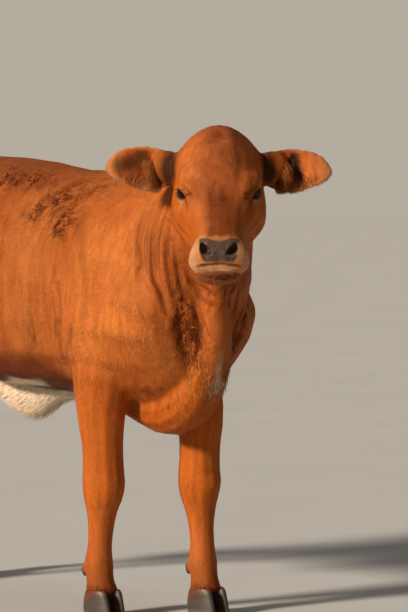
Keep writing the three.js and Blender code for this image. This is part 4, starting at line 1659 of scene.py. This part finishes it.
def hairy(at: Places) -> Array:
    """One where hair grows, zero on the nose pad, lips, lid rims and deep in the ears."""
    allowed = 1 - at.head * MUZZLE.pad(at.face)
    allowed *= 1 - at.head * step(13.5, 11.5, MUZZLE.nostril_distance(at.face)) * (at.face[:, 0] > 0.15)
    for side in Side:
        rim = at.off_lids(side)
        allowed *= 1 - at.head * step(3.2, 2.0, rim) * step(60, 40, at.eye_polar(side).distance / MM)
        inner = at.on_ear(side) * step(0.0, 0.3, at.ear_normals[side][:, 0])
        allowed *= 1 - 0.7 * inner * step(0.12, 0.08, at.ears[side][:, 1])
    return allowed


FAR = 9.0  # past the end of the animal, in metres
TAIL_ROOT = -0.915
UPRIGHT = np.array([[0, 0, 1.0], [1, 0, 0], [0, 1, 0]])


def cut(
    part: Callable[[Places], Array], frame_name: str, low: float, high: float, side: Side | None = None
) -> Callable[[Places], Array]:
    """The share of a part of the body between two places along x, on one side or both.

    Args:
        part: one on the whole part.
        frame_name: "body" or "face", whose x is meant.
        low: where it starts, in metres.
        high: where it ends.
        side: the side it is kept to.

    Returns:
        A function that is one there.
    """

    def wanted(at: Places) -> Array:
        """One on the part that is kept."""
        x, y, _ = getattr(at, frame_name).T
        kept = part(at) * (x > low) * (x <= high)
        return kept if side is None else kept * (y * side.value > 0)

    return wanted


@dataclass
class Pelt:
    """The whole coat: a piece of tufts for each part of the body."""

    anatomy: Anatomy
    quick_share: float = 0.35

    def parts(self) -> list[Coat]:
        """Every piece, with the part of the hide that it grows on."""
        trunk, legs, skull = self.on_trunk, self.on_legs, self.on_head
        spread = [
            ("coat_face", cut(skull, "face", 0.03, FAR), self.on_skull, 30000),
            ("coat_poll", cut(skull, "face", -FAR, 0.03), self.on_skull, 28000),
            ("coat_ears", lambda at: at.on_ears() * hairy(at), self.ear_spots, 20000),
            ("coat_left_shoulder", cut(trunk, "body", -0.2, FAR, Side.LEFT), self.barrel_spots, 30000),
            ("coat_right_shoulder", cut(trunk, "body", -0.2, FAR, Side.RIGHT), self.barrel_spots, 32000),
            ("coat_left_flank", cut(trunk, "body", -FAR, -0.2, Side.LEFT), self.barrel_spots, 29000),
            ("coat_right_flank", cut(trunk, "body", -FAR, -0.2, Side.RIGHT), self.barrel_spots, 32000),
            ("coat_forelegs", cut(legs, "body", -0.3, FAR), lambda at: self.leg_spots(at, "fore"), 14000),
            ("coat_hindlegs", cut(legs, "body", -FAR, -0.3), lambda at: self.leg_spots(at, "hind"), 15000),
            ("coat_tail", lambda at: at.body[:, 0] <= TAIL_ROOT, self.tail_spots, 4000),
        ]
        share = 1
        return [
            Coat(name, self.anatomy, wanted, chart, int(count * share), SEED + i)
            for i, (name, wanted, chart, count) in enumerate(spread)
        ]

    def on_head(self, at: Places) -> Array:
        """One where the head's own hair grows."""
        return (at.head > 0.5) * (at.on_ears() < 0.5) * hairy(at)

    def on_trunk(self, at: Places) -> Array:
        """One on the neck and trunk."""
        return (at.head <= 0.5) & ~at.on_legs() & (at.body[:, 0] > TAIL_ROOT)

    def on_legs(self, at: Places) -> Array:
        """One on the legs, and more at the coronets."""
        return (at.on_legs() & (at.body[:, 0] > -0.93)) * (1 + 1.5 * step(0.084, 0.07, at.body[:, 2]))

    def on_skull(self, at: Places) -> Array:
        """The map round the head."""
        return Chart(self.anatomy.head, -0.2, 0.225).spots(at.points)

    def barrel_spots(self, at: Places) -> Array:
        """The map round the trunk."""
        body = self.anatomy.body
        return Chart(Axes(body.origin + np.array([0, 0, 0.78]), body.rows), -0.95, 0.32).spots(at.points)

    def tail_spots(self, at: Places) -> Array:
        """The map round the tail."""
        root = self.anatomy.body.origin + np.array([-0.938, 0, 0])
        return Chart(Axes(root, UPRIGHT), 0.5, 1.05).spots(at.points)

    def leg_spots(self, at: Places, end: str) -> Array:
        """The map round a pair of legs, half of it for each."""
        found = np.zeros((len(at.points), 2))
        for i, side in enumerate(Side):
            foot = self.anatomy.feet[f"{end}_{side.word}"]
            out = self.anatomy.stance[end] * side.value
            middle = self.anatomy.body.origin + np.array([foot - 6, out, 0]) * MM
            on = at.body[:, 1] * side.value > 0
            leg = Chart(Axes(middle, UPRIGHT), 0.05, 0.52, (i / 2, 0, (i + 1) / 2, 1))
            found[on] = leg.spots(at.points[on])
        return found

    def ear_spots(self, at: Places) -> Array:
        """The map of the ears' blades: hollow and back of each in a quarter."""
        found = np.zeros((len(at.points), 2))
        for i, side in enumerate(Side):
            y, z = at.ears[side][:, 1], at.ears[side][:, 2]
            back = (at.ear_normals[side][:, 0] < 0).astype(float)
            u = (i + np.clip(y / 0.18, 0.02, 0.98)) / 2
            v = (back + np.clip(z / 0.12 + 0.5, 0.02, 0.98)) / 2
            on = at.on_ear(side) > 0.4
            found[on] = np.column_stack([u, v])[on]
        return found

    def build(self, surface: HideSurface) -> None:
        """Grows every piece."""
        for part in self.parts():
            part.build(surface)


# ---- Long hair: tassel, fringes, ear hair, lashes, whiskers ------------------------------------------


@dataclass
class Locks:
    """Long tapering locks, each a closed bent solid of three sides."""

    name: str
    roots: Array
    ways: Array
    normals: Array
    length: Array
    width: Array
    colour: Array
    spots: Array
    droop: float = 0.5  # how far the tip is pulled down, as a share of the length
    curl: float = 0.06  # how far the lock weaves, as a share of its length
    sections: int = 6
    seed: int = 1
    calm: float = 0.0  # share of the hide's own direction in how a lock takes the light
    nodes: tuple[str, ...] = ()
    slot: str = "coat"

    def build(self) -> bpy.types.Object:
        """Makes all the locks as one piece and shows it."""
        rng = np.random.default_rng(self.seed)
        count, rings = len(self.roots), self.sections
        across = unit(np.cross(self.normals, self.ways))
        s = np.linspace(0, 1, rings + 1)[None, :, None]
        phase = rng.uniform(0, 2 * math.pi, (count, 1, 1))
        turns = rng.uniform(0.6, 1.4, (count, 1, 1))
        weave = self.curl * s * np.sin(2 * math.pi * turns * s + phase)
        length = self.length[:, None, None]
        down = np.array([0, 0, -1.0])
        line = self.ways[:, None] * s + down * self.droop * s**2 + across[:, None] * weave
        line = self.roots[:, None] + line * length - self.normals[:, None] * 1.0 * MM * (s < 0.01)
        taper = (1 - s[..., :] ** 2.2) * (0.55 + 0.45 * np.minimum(s * 4, 1))
        points = []
        for k in range(3):
            angle = 2 * math.pi * k / 3 + math.pi / 6
            offset = across * math.cos(angle) + self.normals * 0.7 * math.sin(angle)
            points.append(line[:, :-1] + offset[:, None] * taper[:, :-1] * self.width[:, None, None] / 2)
        ring = np.stack(points, axis=2).reshape(count, rings * 3, 3)
        body = np.concatenate([ring, line[:, -1:]], axis=1)
        faces = []
        for i in range(rings - 1):
            for k in range(3):
                a, b = 3 * i + k, 3 * i + (k + 1) % 3
                faces += [[a, b, b + 3], [a, b + 3, a + 3]]
        last = 3 * (rings - 1)
        faces += [[last + k, last + (k + 1) % 3, 3 * rings] for k in range(3)]
        faces += [[0, 2, 1]]
        each = 3 * rings + 1
        all_faces = np.array(faces)[None] + each * np.arange(count)[:, None, None]
        mesh = many_solids(self.name, body.reshape(-1, 3), all_faces.reshape(-1, 3))
        if self.calm:
            soothe(mesh, self.normals, self.calm)
        # painted shade at each lock's root, lighter to its tip
        shade = np.repeat(np.append(np.repeat(np.linspace(0.75, 1.12, rings), 3), 1.15)[None], count, axis=0)
        tint = self.colour[:, None] * shade[..., None] * (1 + rng.normal(0, 0.08, (count, 1, 1)))
        paint(mesh, "tint", np.clip(tint, 0, 1).reshape(-1, 3))
        patch = np.column_stack([np.tile([-1.0, 1.0, 0.0], rings), np.repeat(np.linspace(-1, 0.8, rings), 3)])
        patch = np.vstack([patch, [0, 1.0]]) * 0.0015
        unwrap(mesh, (self.spots[:, None] + patch[None]).reshape(-1, 2))
        return show(self.name, mesh, HAIR, self.slot, *self.nodes)


@dataclass
class LongHair:
    """Everything on the calf that is longer than its coat."""

    anatomy: Anatomy
    surface: HideSurface

    def pick(self, weights: Array, count: int, seed: int) -> tuple[Places, Array]:
        """Roots on the hide by weight, and the lie of the hair there."""
        grower = Coat("", self.anatomy, lambda at: weights, lambda at: at.points[:, :2], count, seed)
        at = grower.roots(self.surface)
        return at, Lie().ways(at)

    def tassel(self) -> None:
        """The switch of the tail: long wavy locks round the last of the tail."""
        rng = np.random.default_rng(70)
        low, high = (np.array(corner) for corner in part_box("tail_switch"))
        count = 1500
        run = rng.random(count) ** 1.3
        angle = rng.uniform(0, 2 * math.pi, count)
        core = 0.012 * (1 - 0.5 * run)
        middle = (low + high) / 2
        outward = np.column_stack([np.cos(angle), np.sin(angle), 0 * angle])
        drop = 0.62 * (high[2] - low[2])
        line = np.column_stack([0 * run + middle[0], 0 * run + middle[1], high[2] + 0.004 - drop * run])
        roots = line + outward * core[:, None]
        spread = 0.17 * np.sin(math.pi * np.clip(1 - run, 0.1, 0.9))[:, None]
        ways = unit(outward * spread + np.array([0, 0, -1.0]))
        reach = (roots[:, 2] - low[2]) * rng.uniform(0.55, 0.98, count)
        length = np.minimum(reach, 0.15)
        colour = mix(plain(Tone.RED.rgb * 0.8, count), Tone.DEEP.rgb, rng.random(count) * 0.7)
        colour = mix(colour, Tone.TAN.rgb, 0.6 * (rng.random(count) > 0.86))
        spots = np.column_stack([0.01 + 0.98 * angle / (2 * math.pi), 0.01 + 0.98 * run])
        Locks(
            "tail_tassel", roots, ways, outward, length, rng.uniform(1.6, 3.0, count) * MM, colour, spots,
            droop=0.0, curl=0.05, sections=7, seed=71, nodes=("tail_switch",), slot="tassel",
        ).build()
        work = bmesh.new()
        for level, radius in ((high[2], 0.012), (high[2] - 0.11, 0.008), (high[2] - 0.17, 0.003)):
            bmesh.ops.create_circle(
                work, cap_ends=False, segments=12, radius=radius,
                matrix=Matrix.Translation((middle[0], middle[1], level)),
            )
        mesh = lofted(work, "tail_end")
        paint(mesh, "tint", plain(Tone.DEEP.rgb, len(mesh.vertices)))
        mesh.shade_smooth()
        show("tail_end", mesh, HIDE, "tassel")

    def fringes(self) -> None:
        """Longer hair under the belly, on the slack skin of the navel, the brisket and the heels."""
        at = self.surface.middles
        x, y, z = at.body.T
        navel = step(0.5, 0.455, z) * (z > 0.4) * step(-0.66, -0.5, x) * (x < -0.3) * (np.abs(y) < 0.06)
        rear = navel * (1 + 3 * step(-0.44, -0.52, x))
        breast = 0.7 * blob(at.body, (236, 0, 545), (26, 34, 40))
        breast += 0.2 * blob(at.body, (190, 0, 480), (60, 50, 50))
        belly = 0.10 * step(0.52, 0.5, z) * (np.abs(y) < 0.12) * step(-0.1, -0.2, x) * (z > 0.45)
        roots, ways = self.pick(rear + breast + belly, 2600, 81)
        rng = np.random.default_rng(82)
        count = len(ways)
        length = rng.uniform(16, 30, count) * MM
        length *= np.where(roots.body[:, 0] > 0, 0.8, 1.0)
        chart = Chart(Axes(self.anatomy.body.origin + np.array([0, 0, 0.7]), np.eye(3)), -0.75, 0.32)
        Locks(
            "belly_fringe", roots.points, unit(ways + 0.22 * roots.normals), roots.normals, length,
            rng.uniform(1.0, 1.9, count) * MM, MARKINGS.coat(roots), chart.spots(roots.points),
            droop=0.25, curl=0.05, sections=5, seed=83, calm=0.8,
        ).build()

    def ear_hair(self) -> None:
        """Hair that hangs in the ears' hollows and the pale fringe of their rims."""
        at = self.surface.middles
        for side in Side:
            ear = at.on_ear(side)
            _, ey, ez = at.ears[side].T
            inner = ear * step(0.0, 0.4, at.ear_normals[side][:, 0])
            past = ey - MARKINGS.fold(ez)  # metres beyond the edge of the furry base
            hanging = inner * step(-0.010, 0.0, past) * step(0.016, 0.004, past) * step(0.03, 0.012, ez)
            lower = 0.5 * inner * step(0.0, 0.01, past) * step(-0.005, -0.02, ez) * step(0.125, 0.1, ey)
            rim = ear * step(0.90, 0.97, MARKINGS.rim(ey, ez)) * step(0.03, 0.05, ey)
            roots, _ = self.pick(hanging * 2.2 + lower + rim * 1.6, 1500, 90 + side.value)
            _, ry, rz = roots.ears[side].T
            rng = np.random.default_rng(92 + side.value)
            count = len(ry)
            on_rim = MARKINGS.rim(ry, rz) > 0.9
            long = (ry - MARKINGS.fold(rz) < 0.018) & ~on_rim
            hang = np.column_stack([0.35 + 0 * ry, 0.25 + 0 * ry, -1.0 + 0 * rz])
            outward = np.column_stack([0.25 + 0 * ry, 0.55 + 0 * ry, rz / 0.05])
            axes = self.anatomy.ear(side)
            ways = unit(axes.turned(np.where(on_rim[:, None], outward, hang)))
            ways = unit(ways + 0.2 * roots.normals + rng.normal(0, 0.1, (count, 3)))
            length = np.where(long, rng.uniform(16, 34, count), rng.uniform(8, 14, count))
            length = np.minimum(length, 0.75 * (rz / MM + 58))
            length = np.where(on_rim, rng.uniform(2, 5, count), length) * MM
            inside = 0.5 * (Tone.TAN.rgb + Tone.RED.rgb)
            colour = np.where(on_rim[:, None], Tone.CREAM.rgb * 0.75, inside)
            colour = mix(colour, Tone.DEEP.rgb, 0.85 * rng.random(count) ** 1.5 * ~on_rim)
            u = 0.02 + 0.96 * np.clip(ry / 0.18, 0, 1)
            v = 0.02 + 0.96 * np.clip(rz / 0.12 + 0.5, 0, 1)
            width = np.where(on_rim, 0.8, 1.25) * rng.uniform(0.7, 1.3, count) * MM
            Locks(
                f"ear_hair_{side.word}", roots.points, ways, roots.normals, length, width, colour,
                np.column_stack([u, v]), droop=0.2, curl=0.05, sections=4, seed=95 + side.value,
            ).build()

    def lashes(self) -> None:
        """Upper and lower lashes."""
        roots, ways, lengths, spots = [], [], [], []
        rng = np.random.default_rng(97)
        for side in Side:
            eye = EyePolar.axes(self.anatomy, side)
            for sign, count, long in ((1, 40, 10), (-1, 22, 6)):
                high = EyePolar.HIGH if sign > 0 else EyePolar.LOW
                nasal = np.linspace(-0.86, 0.72, count) * EyePolar.WIDE
                rise = sign * high * (1 - (nasal / EyePolar.WIDE) ** 2) ** 0.75 + sign * 0.03
                out = np.column_stack(
                    [np.cos(rise) * np.cos(nasal), np.cos(rise) * np.sin(nasal), np.sin(rise)]
                )
                way = out * [0.9, 0.55, 0.2] + np.array([0.35, 0, 0.05 if sign > 0 else -0.55])
                way = way + rng.normal(0, 0.09, way.shape)
                roots.append(eye.world(out * (EyePolar.RADIUS + 1.9 * MM)))
                ways.append(eye.turned(unit(way)))
                lengths.append(long * MM * rng.uniform(0.6, 1.1, count))
                row = 0.3 + 0.2 * sign + 0.1 * side.value
                spots.append(np.column_stack([np.linspace(0.1, 0.9, count), np.full(count, row)]))
        roots, ways = np.vstack(roots), np.vstack(ways)
        normals = unit(np.cross(ways, np.array([0.3, 0.2, 1.0])))
        Locks(
            "lashes", roots, ways, normals, np.concatenate(lengths), np.full(len(roots), 0.55 * MM),
            plain(Tone.SOOT.rgb, len(roots)), np.vstack(spots),
            droop=0.12, curl=0.03, sections=4, seed=98,
        ).build()

    def whiskers(self) -> None:
        """Fine stiff bristles of the chin and lips."""
        at = self.surface.middles
        x = at.face[:, 0]
        drop = MUZZLE.drop(at.face)
        chin = at.head * (x > 0.15) * step(-168, -176, drop) * (drop > -215)
        lips = at.head * (x > 0.15) * step(-128, -140, drop) * (drop > -168) * (MUZZLE.pad(at.face) < 0.1)
        roots, ways = self.pick(chin * 1.6 + 0.35 * lips, 320, 101)
        rng = np.random.default_rng(102)
        count = len(ways)
        way = unit(ways * 0.8 + roots.normals * 0.75 + rng.normal(0, 0.12, (count, 3)))
        dark = rng.random(count) > 0.18
        colour = np.where(dark[:, None], Tone.SOOT.rgb, Tone.CREAM.rgb * 0.7)
        chart = Chart(self.anatomy.head, 0.12, 0.24)
        Locks(
            "whiskers", roots.points, way, roots.normals, rng.uniform(5, 11, count) * MM,
            rng.uniform(0.3, 0.45, count) * MM, colour, chart.spots(roots.points),
            droop=0.15, curl=0.03, sections=4, seed=103,
        ).build()

    def build(self) -> None:
        """Grows all of it."""
        self.tassel()
        self.fringes()
        self.ear_hair()
        self.lashes()
        self.whiskers()


# ---- Eyes --------------------------------------------------------------------------------------------


@dataclass
class Eye:
    """An eyeball with its bulging cornea, iris and level pupil."""

    anatomy: Anatomy
    side: Side
    ahead: float = 24.0  # degrees that it looks forward of its socket's axis
    raised: float = 6.0
    iris: float = 0.86  # radians from the gaze to the iris's edge
    pupil_wide: float = 0.52
    pupil_high: float = 0.27
    bulge: float = 1.1 * MM

    def build(self) -> bpy.types.Object:
        """Makes and paints the eyeball."""
        axes = EyePolar.axes(self.anatomy, self.side)
        work = bmesh.new()
        turn = Matrix(axes.rows.T.tolist()).to_4x4() @ Matrix.Rotation(math.radians(90), 4, "Y")
        bmesh.ops.create_uvsphere(
            work, u_segments=64, v_segments=40, radius=EyePolar.RADIUS - 0.2 * MM,
            matrix=Matrix.Translation(Vector(axes.origin)) @ turn,
        )
        bmesh.ops.recalc_face_normals(work, faces=work.faces)
        bmesh.ops.triangulate(work, faces=work.faces)
        mesh = mesh_of(work, "eyeball")
        local = axes.local(points_of(mesh))
        x, y, z = (unit(local) @ rotation("Z", self.ahead) @ rotation("Y", -self.raised)).T
        off = np.arccos(np.clip(x, -1, 1))
        local = local * (1 + self.bulge / EyePolar.RADIUS * step(self.iris, 0.3, off))[:, None]
        move_points(mesh, axes.world(local))
        spokes = 0.85 + 0.15 * np.sin(np.arctan2(z, y) * 41) * step(0.2, 0.6, off)
        colour = plain(Tone.IRIS.rgb, len(x)) * spokes[:, None]
        pupil = np.hypot(np.arctan2(y, x) / self.pupil_wide, np.arcsin(np.clip(z, -1, 1)) / self.pupil_high)
        colour = mix(colour, Tone.PUPIL.rgb, step(1.08, 0.96, pupil))
        colour = mix(colour, Tone.IRIS_EDGE.rgb, step(self.iris - 0.1, self.iris, off))
        colour = mix(colour, Tone.EYE_WHITE.rgb, step(self.iris + 0.04, self.iris + 0.22, off))
        paint(mesh, "tint", colour)
        mesh.shade_smooth()
        return show(f"eyeball_{self.side.word}", mesh, EYE, "eye", f"eye_{self.side.word}")


# ---- Hooves ------------------------------------------------------------------------------------------


@dataclass
class Claw:
    """One claw of a hoof, made to the box of its solid: rounded outside, flat towards its neighbour."""

    node: str
    inner: bool
    side: Side
    segments: int = 36
    levels: int = 14

    def outline(self, height: float) -> Array:
        """The claw's outline at a height from 0 to 1, in shares of its box."""
        angle = np.linspace(0, 2 * math.pi, self.segments, endpoint=False)
        toe = 1.0 - 0.36 * height + 0.03 * math.sin(math.pi * height)
        heel = -0.86 - 0.10 * math.sin(math.pi * min(height * 1.1, 1)) + 0.05 * height**2
        reach = np.where(np.cos(angle) > 0, toe, -heel)
        along = np.sign(np.cos(angle)) * np.abs(np.cos(angle)) ** 0.9 * reach
        taper = 1 - 0.34 * np.clip(along, 0, 1) ** 1.8
        across = np.sign(np.sin(angle)) * np.abs(np.sin(angle)) ** 0.9 * taper
        half = 0.98 - 0.20 * height
        away = 1 if self.inner == (self.side is Side.LEFT) else -1
        flat = np.where(across * away > 0, 0.82, 1.0)  # the wall that faces the other claw
        return np.column_stack([along, across * flat * half])

    def build(self) -> bpy.types.Object:
        """Lofts the claw from sole to coronet and rounds its rims."""
        low, high = (np.array(corner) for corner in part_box(self.node))
        middle, half = (low + high) / 2, (high - low) / 2
        work = bmesh.new()
        for level in range(self.levels + 1):
            share = level / self.levels
            ring = bmesh.ops.create_circle(work, cap_ends=False, segments=self.segments, radius=1)
            growth = 1 - 0.008 * (0.5 + 0.5 * math.cos(share * 4.5 * 2 * math.pi))
            rim = 1 - 0.10 * max(0, 1 - share / 0.05) ** 2 - 0.12 * max(0, (share - 0.86) / 0.14) ** 2
            outline = self.outline(share) * growth * rim
            for vertex, spot in zip(ring["verts"], outline):
                vertex.co = (*(middle[:2] + spot * half[:2]), high[2] * share)
        mesh = lofted(work, self.node)
        x, _, z = ((points_of(mesh) - [middle[0], 0, 0]) / [half[0], 1, high[2]]).T
        colour = mix(plain(Tone.HOOF.rgb, len(z)), Tone.HOOF_PALE.rgb, 0.5 * step(0.3, 0.0, z))
        coronet = 0.93 + 0.42 * np.clip(x - 0.3, -1, 0)  # it slopes down towards the heel
        colour = mix(colour, Tone.BROWN.rgb * 0.45, 0.85 * step(coronet - 0.05, coronet + 0.03, z))
        paint(mesh, "tint", colour)
        mesh.shade_smooth()
        mesh.set_sharp_from_angle(angle=math.radians(50))
        return show(f"hoof_{self.node}", mesh, HORN, "horn", self.node)


@dataclass
class Dewclaw:
    """A small blunt claw at the back of a fetlock, made to the box of its solid."""

    node: str

    def build(self) -> bpy.types.Object:
        """Makes a blunt cone that points down and back."""
        low, high = (np.array(corner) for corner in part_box(self.node))
        middle, half = (low + high) / 2, (high - low) / 2
        work = bmesh.new()
        bmesh.ops.create_icosphere(work, subdivisions=3, radius=1)
        for vertex in work.verts:
            x, y, z = vertex.co
            narrow = (0.86 + 0.14 * z) * (1 + 0.02 * math.cos(z * 14))
            vertex.co = middle + half * [x * narrow, y * narrow, z]
        mesh = mesh_of(work, self.node)
        paint(mesh, "tint", plain(Tone.HOOF.rgb, len(mesh.vertices)))
        mesh.shade_smooth()
        return show(f"spur_{self.node}", mesh, HORN, "horn", self.node)


# ---- Studio ------------------------------------------------------------------------------------------


@dataclass
class Studio:
    """Floor, light and camera."""

    anatomy: Anatomy
    distance: float = 7.0
    heading: float = 40.0  # degrees to the calf's right of its own heading, where the camera stands
    aside: float = 0.12  # the camera's place along its own right
    height: float = 0.957
    tilt: float = 1.995  # degrees that it looks down
    lens: float = 179.0
    floor_half: float = 150.0
    ambient: float = 0.10
    wall: Point = (0.46, 0.41, 0.35)

    def ways(self) -> tuple[Vector, Vector]:
        """From the calf to the camera, and the camera's right, both level."""
        turn = math.radians(self.heading)
        return Vector((math.cos(turn), -math.sin(turn), 0)), Vector((math.sin(turn), math.cos(turn), 0))

    def camera(self) -> None:
        """Stands the camera before the calf's right shoulder."""
        towards, right = self.ways()
        data = bpy.data.cameras.new("camera")
        data.lens = self.lens
        data.sensor_width = 36
        data.clip_end = 400
        camera = placed("camera", data)
        base = Vector(self.anatomy.body.origin)
        camera.location = base + towards * self.distance + right * self.aside + Vector((0, 0, self.height))
        look = -towards - Vector((0, 0, math.tan(math.radians(self.tilt))))
        camera.rotation_euler = look.to_track_quat("-Z", "Y").to_euler()
        bpy.context.scene.camera = camera

    def sun(self, name: str, place: Vector, power: float, spread: float, colour: Point) -> None:
        """Lights the calf evenly from the direction of a place, softened over a spread in degrees."""
        data = bpy.data.lights.new(name, "SUN")
        data.energy = power
        data.angle = math.radians(spread)
        data.color = colour
        lamp = placed(name, data)
        lamp.rotation_euler = (-place).to_track_quat("-Z", "Y").to_euler()

    def surround(self) -> None:
        """A dim even light from all round, seen as a pale wall behind the calf."""
        world = bpy.data.worlds.new("studio")
        bpy.context.scene.world = world
        world.use_nodes = True
        nodes = Nodes(world.node_tree)
        light = world.node_tree.nodes["Background"]
        light.inputs["Color"].default_value = (1.0, 0.94, 0.85, 1)
        light.inputs["Strength"].default_value = self.ambient
        wall = nodes.add("Background", {"Color": (*self.wall, 1), "Strength": 1.0})
        seen = nodes.add("LightPath").outputs["Is Camera Ray"]
        both = nodes.add("MixShader", {0: seen, 1: light.outputs[0], 2: wall.outputs[0]})
        nodes.join(both.outputs[0], world.node_tree.nodes["World Output"].inputs["Surface"])

    def build(self) -> None:
        """Sets the whole studio up."""
        work = bmesh.new()
        bmesh.ops.create_grid(work, x_segments=1, y_segments=1, size=self.floor_half)
        mesh = mesh_of(work, "floor")
        mesh.materials.append(FloorFinish().material())
        floor = placed("floor", mesh)
        self.surround()
        towards, right = self.ways()
        up = Vector((0, 0, 1))
        self.sun("key", towards * 0.57 - right * 0.775 + up * 0.45, 4.6, 9, (1.0, 0.88, 0.72))
        self.sun("top", -towards * 0.5 - right * 0.3 + up * 1.0, 0.36, 40, (1.0, 0.93, 0.84))
        bpy.context.scene.view_settings.view_transform = "Standard"
        self.camera()


def main() -> None:
    """Builds the calf and its studio, piece by piece."""
    logging.basicConfig(level=logging.INFO, format="%(relativeCreated)6d ms  %(message)s", force=True)
    anatomy = Anatomy()
    Studio(anatomy).build()
    hide = Hide(anatomy).build()
    surface = HideSurface.of(hide, anatomy)
    Pelt(anatomy).build(surface)
    LongHair(anatomy, surface).build()
    for side in Side:
        Eye(anatomy, side).build()
        for end in ("fore", "hind"):
            for place in ("outer", "inner"):
                Claw(f"{end}_claw_{place}_{side.word}", place == "inner", side).build()
                Dewclaw(f"{end}_dewclaw_{place}_{side.word}").build()


if __name__ == "__main__":
    main()
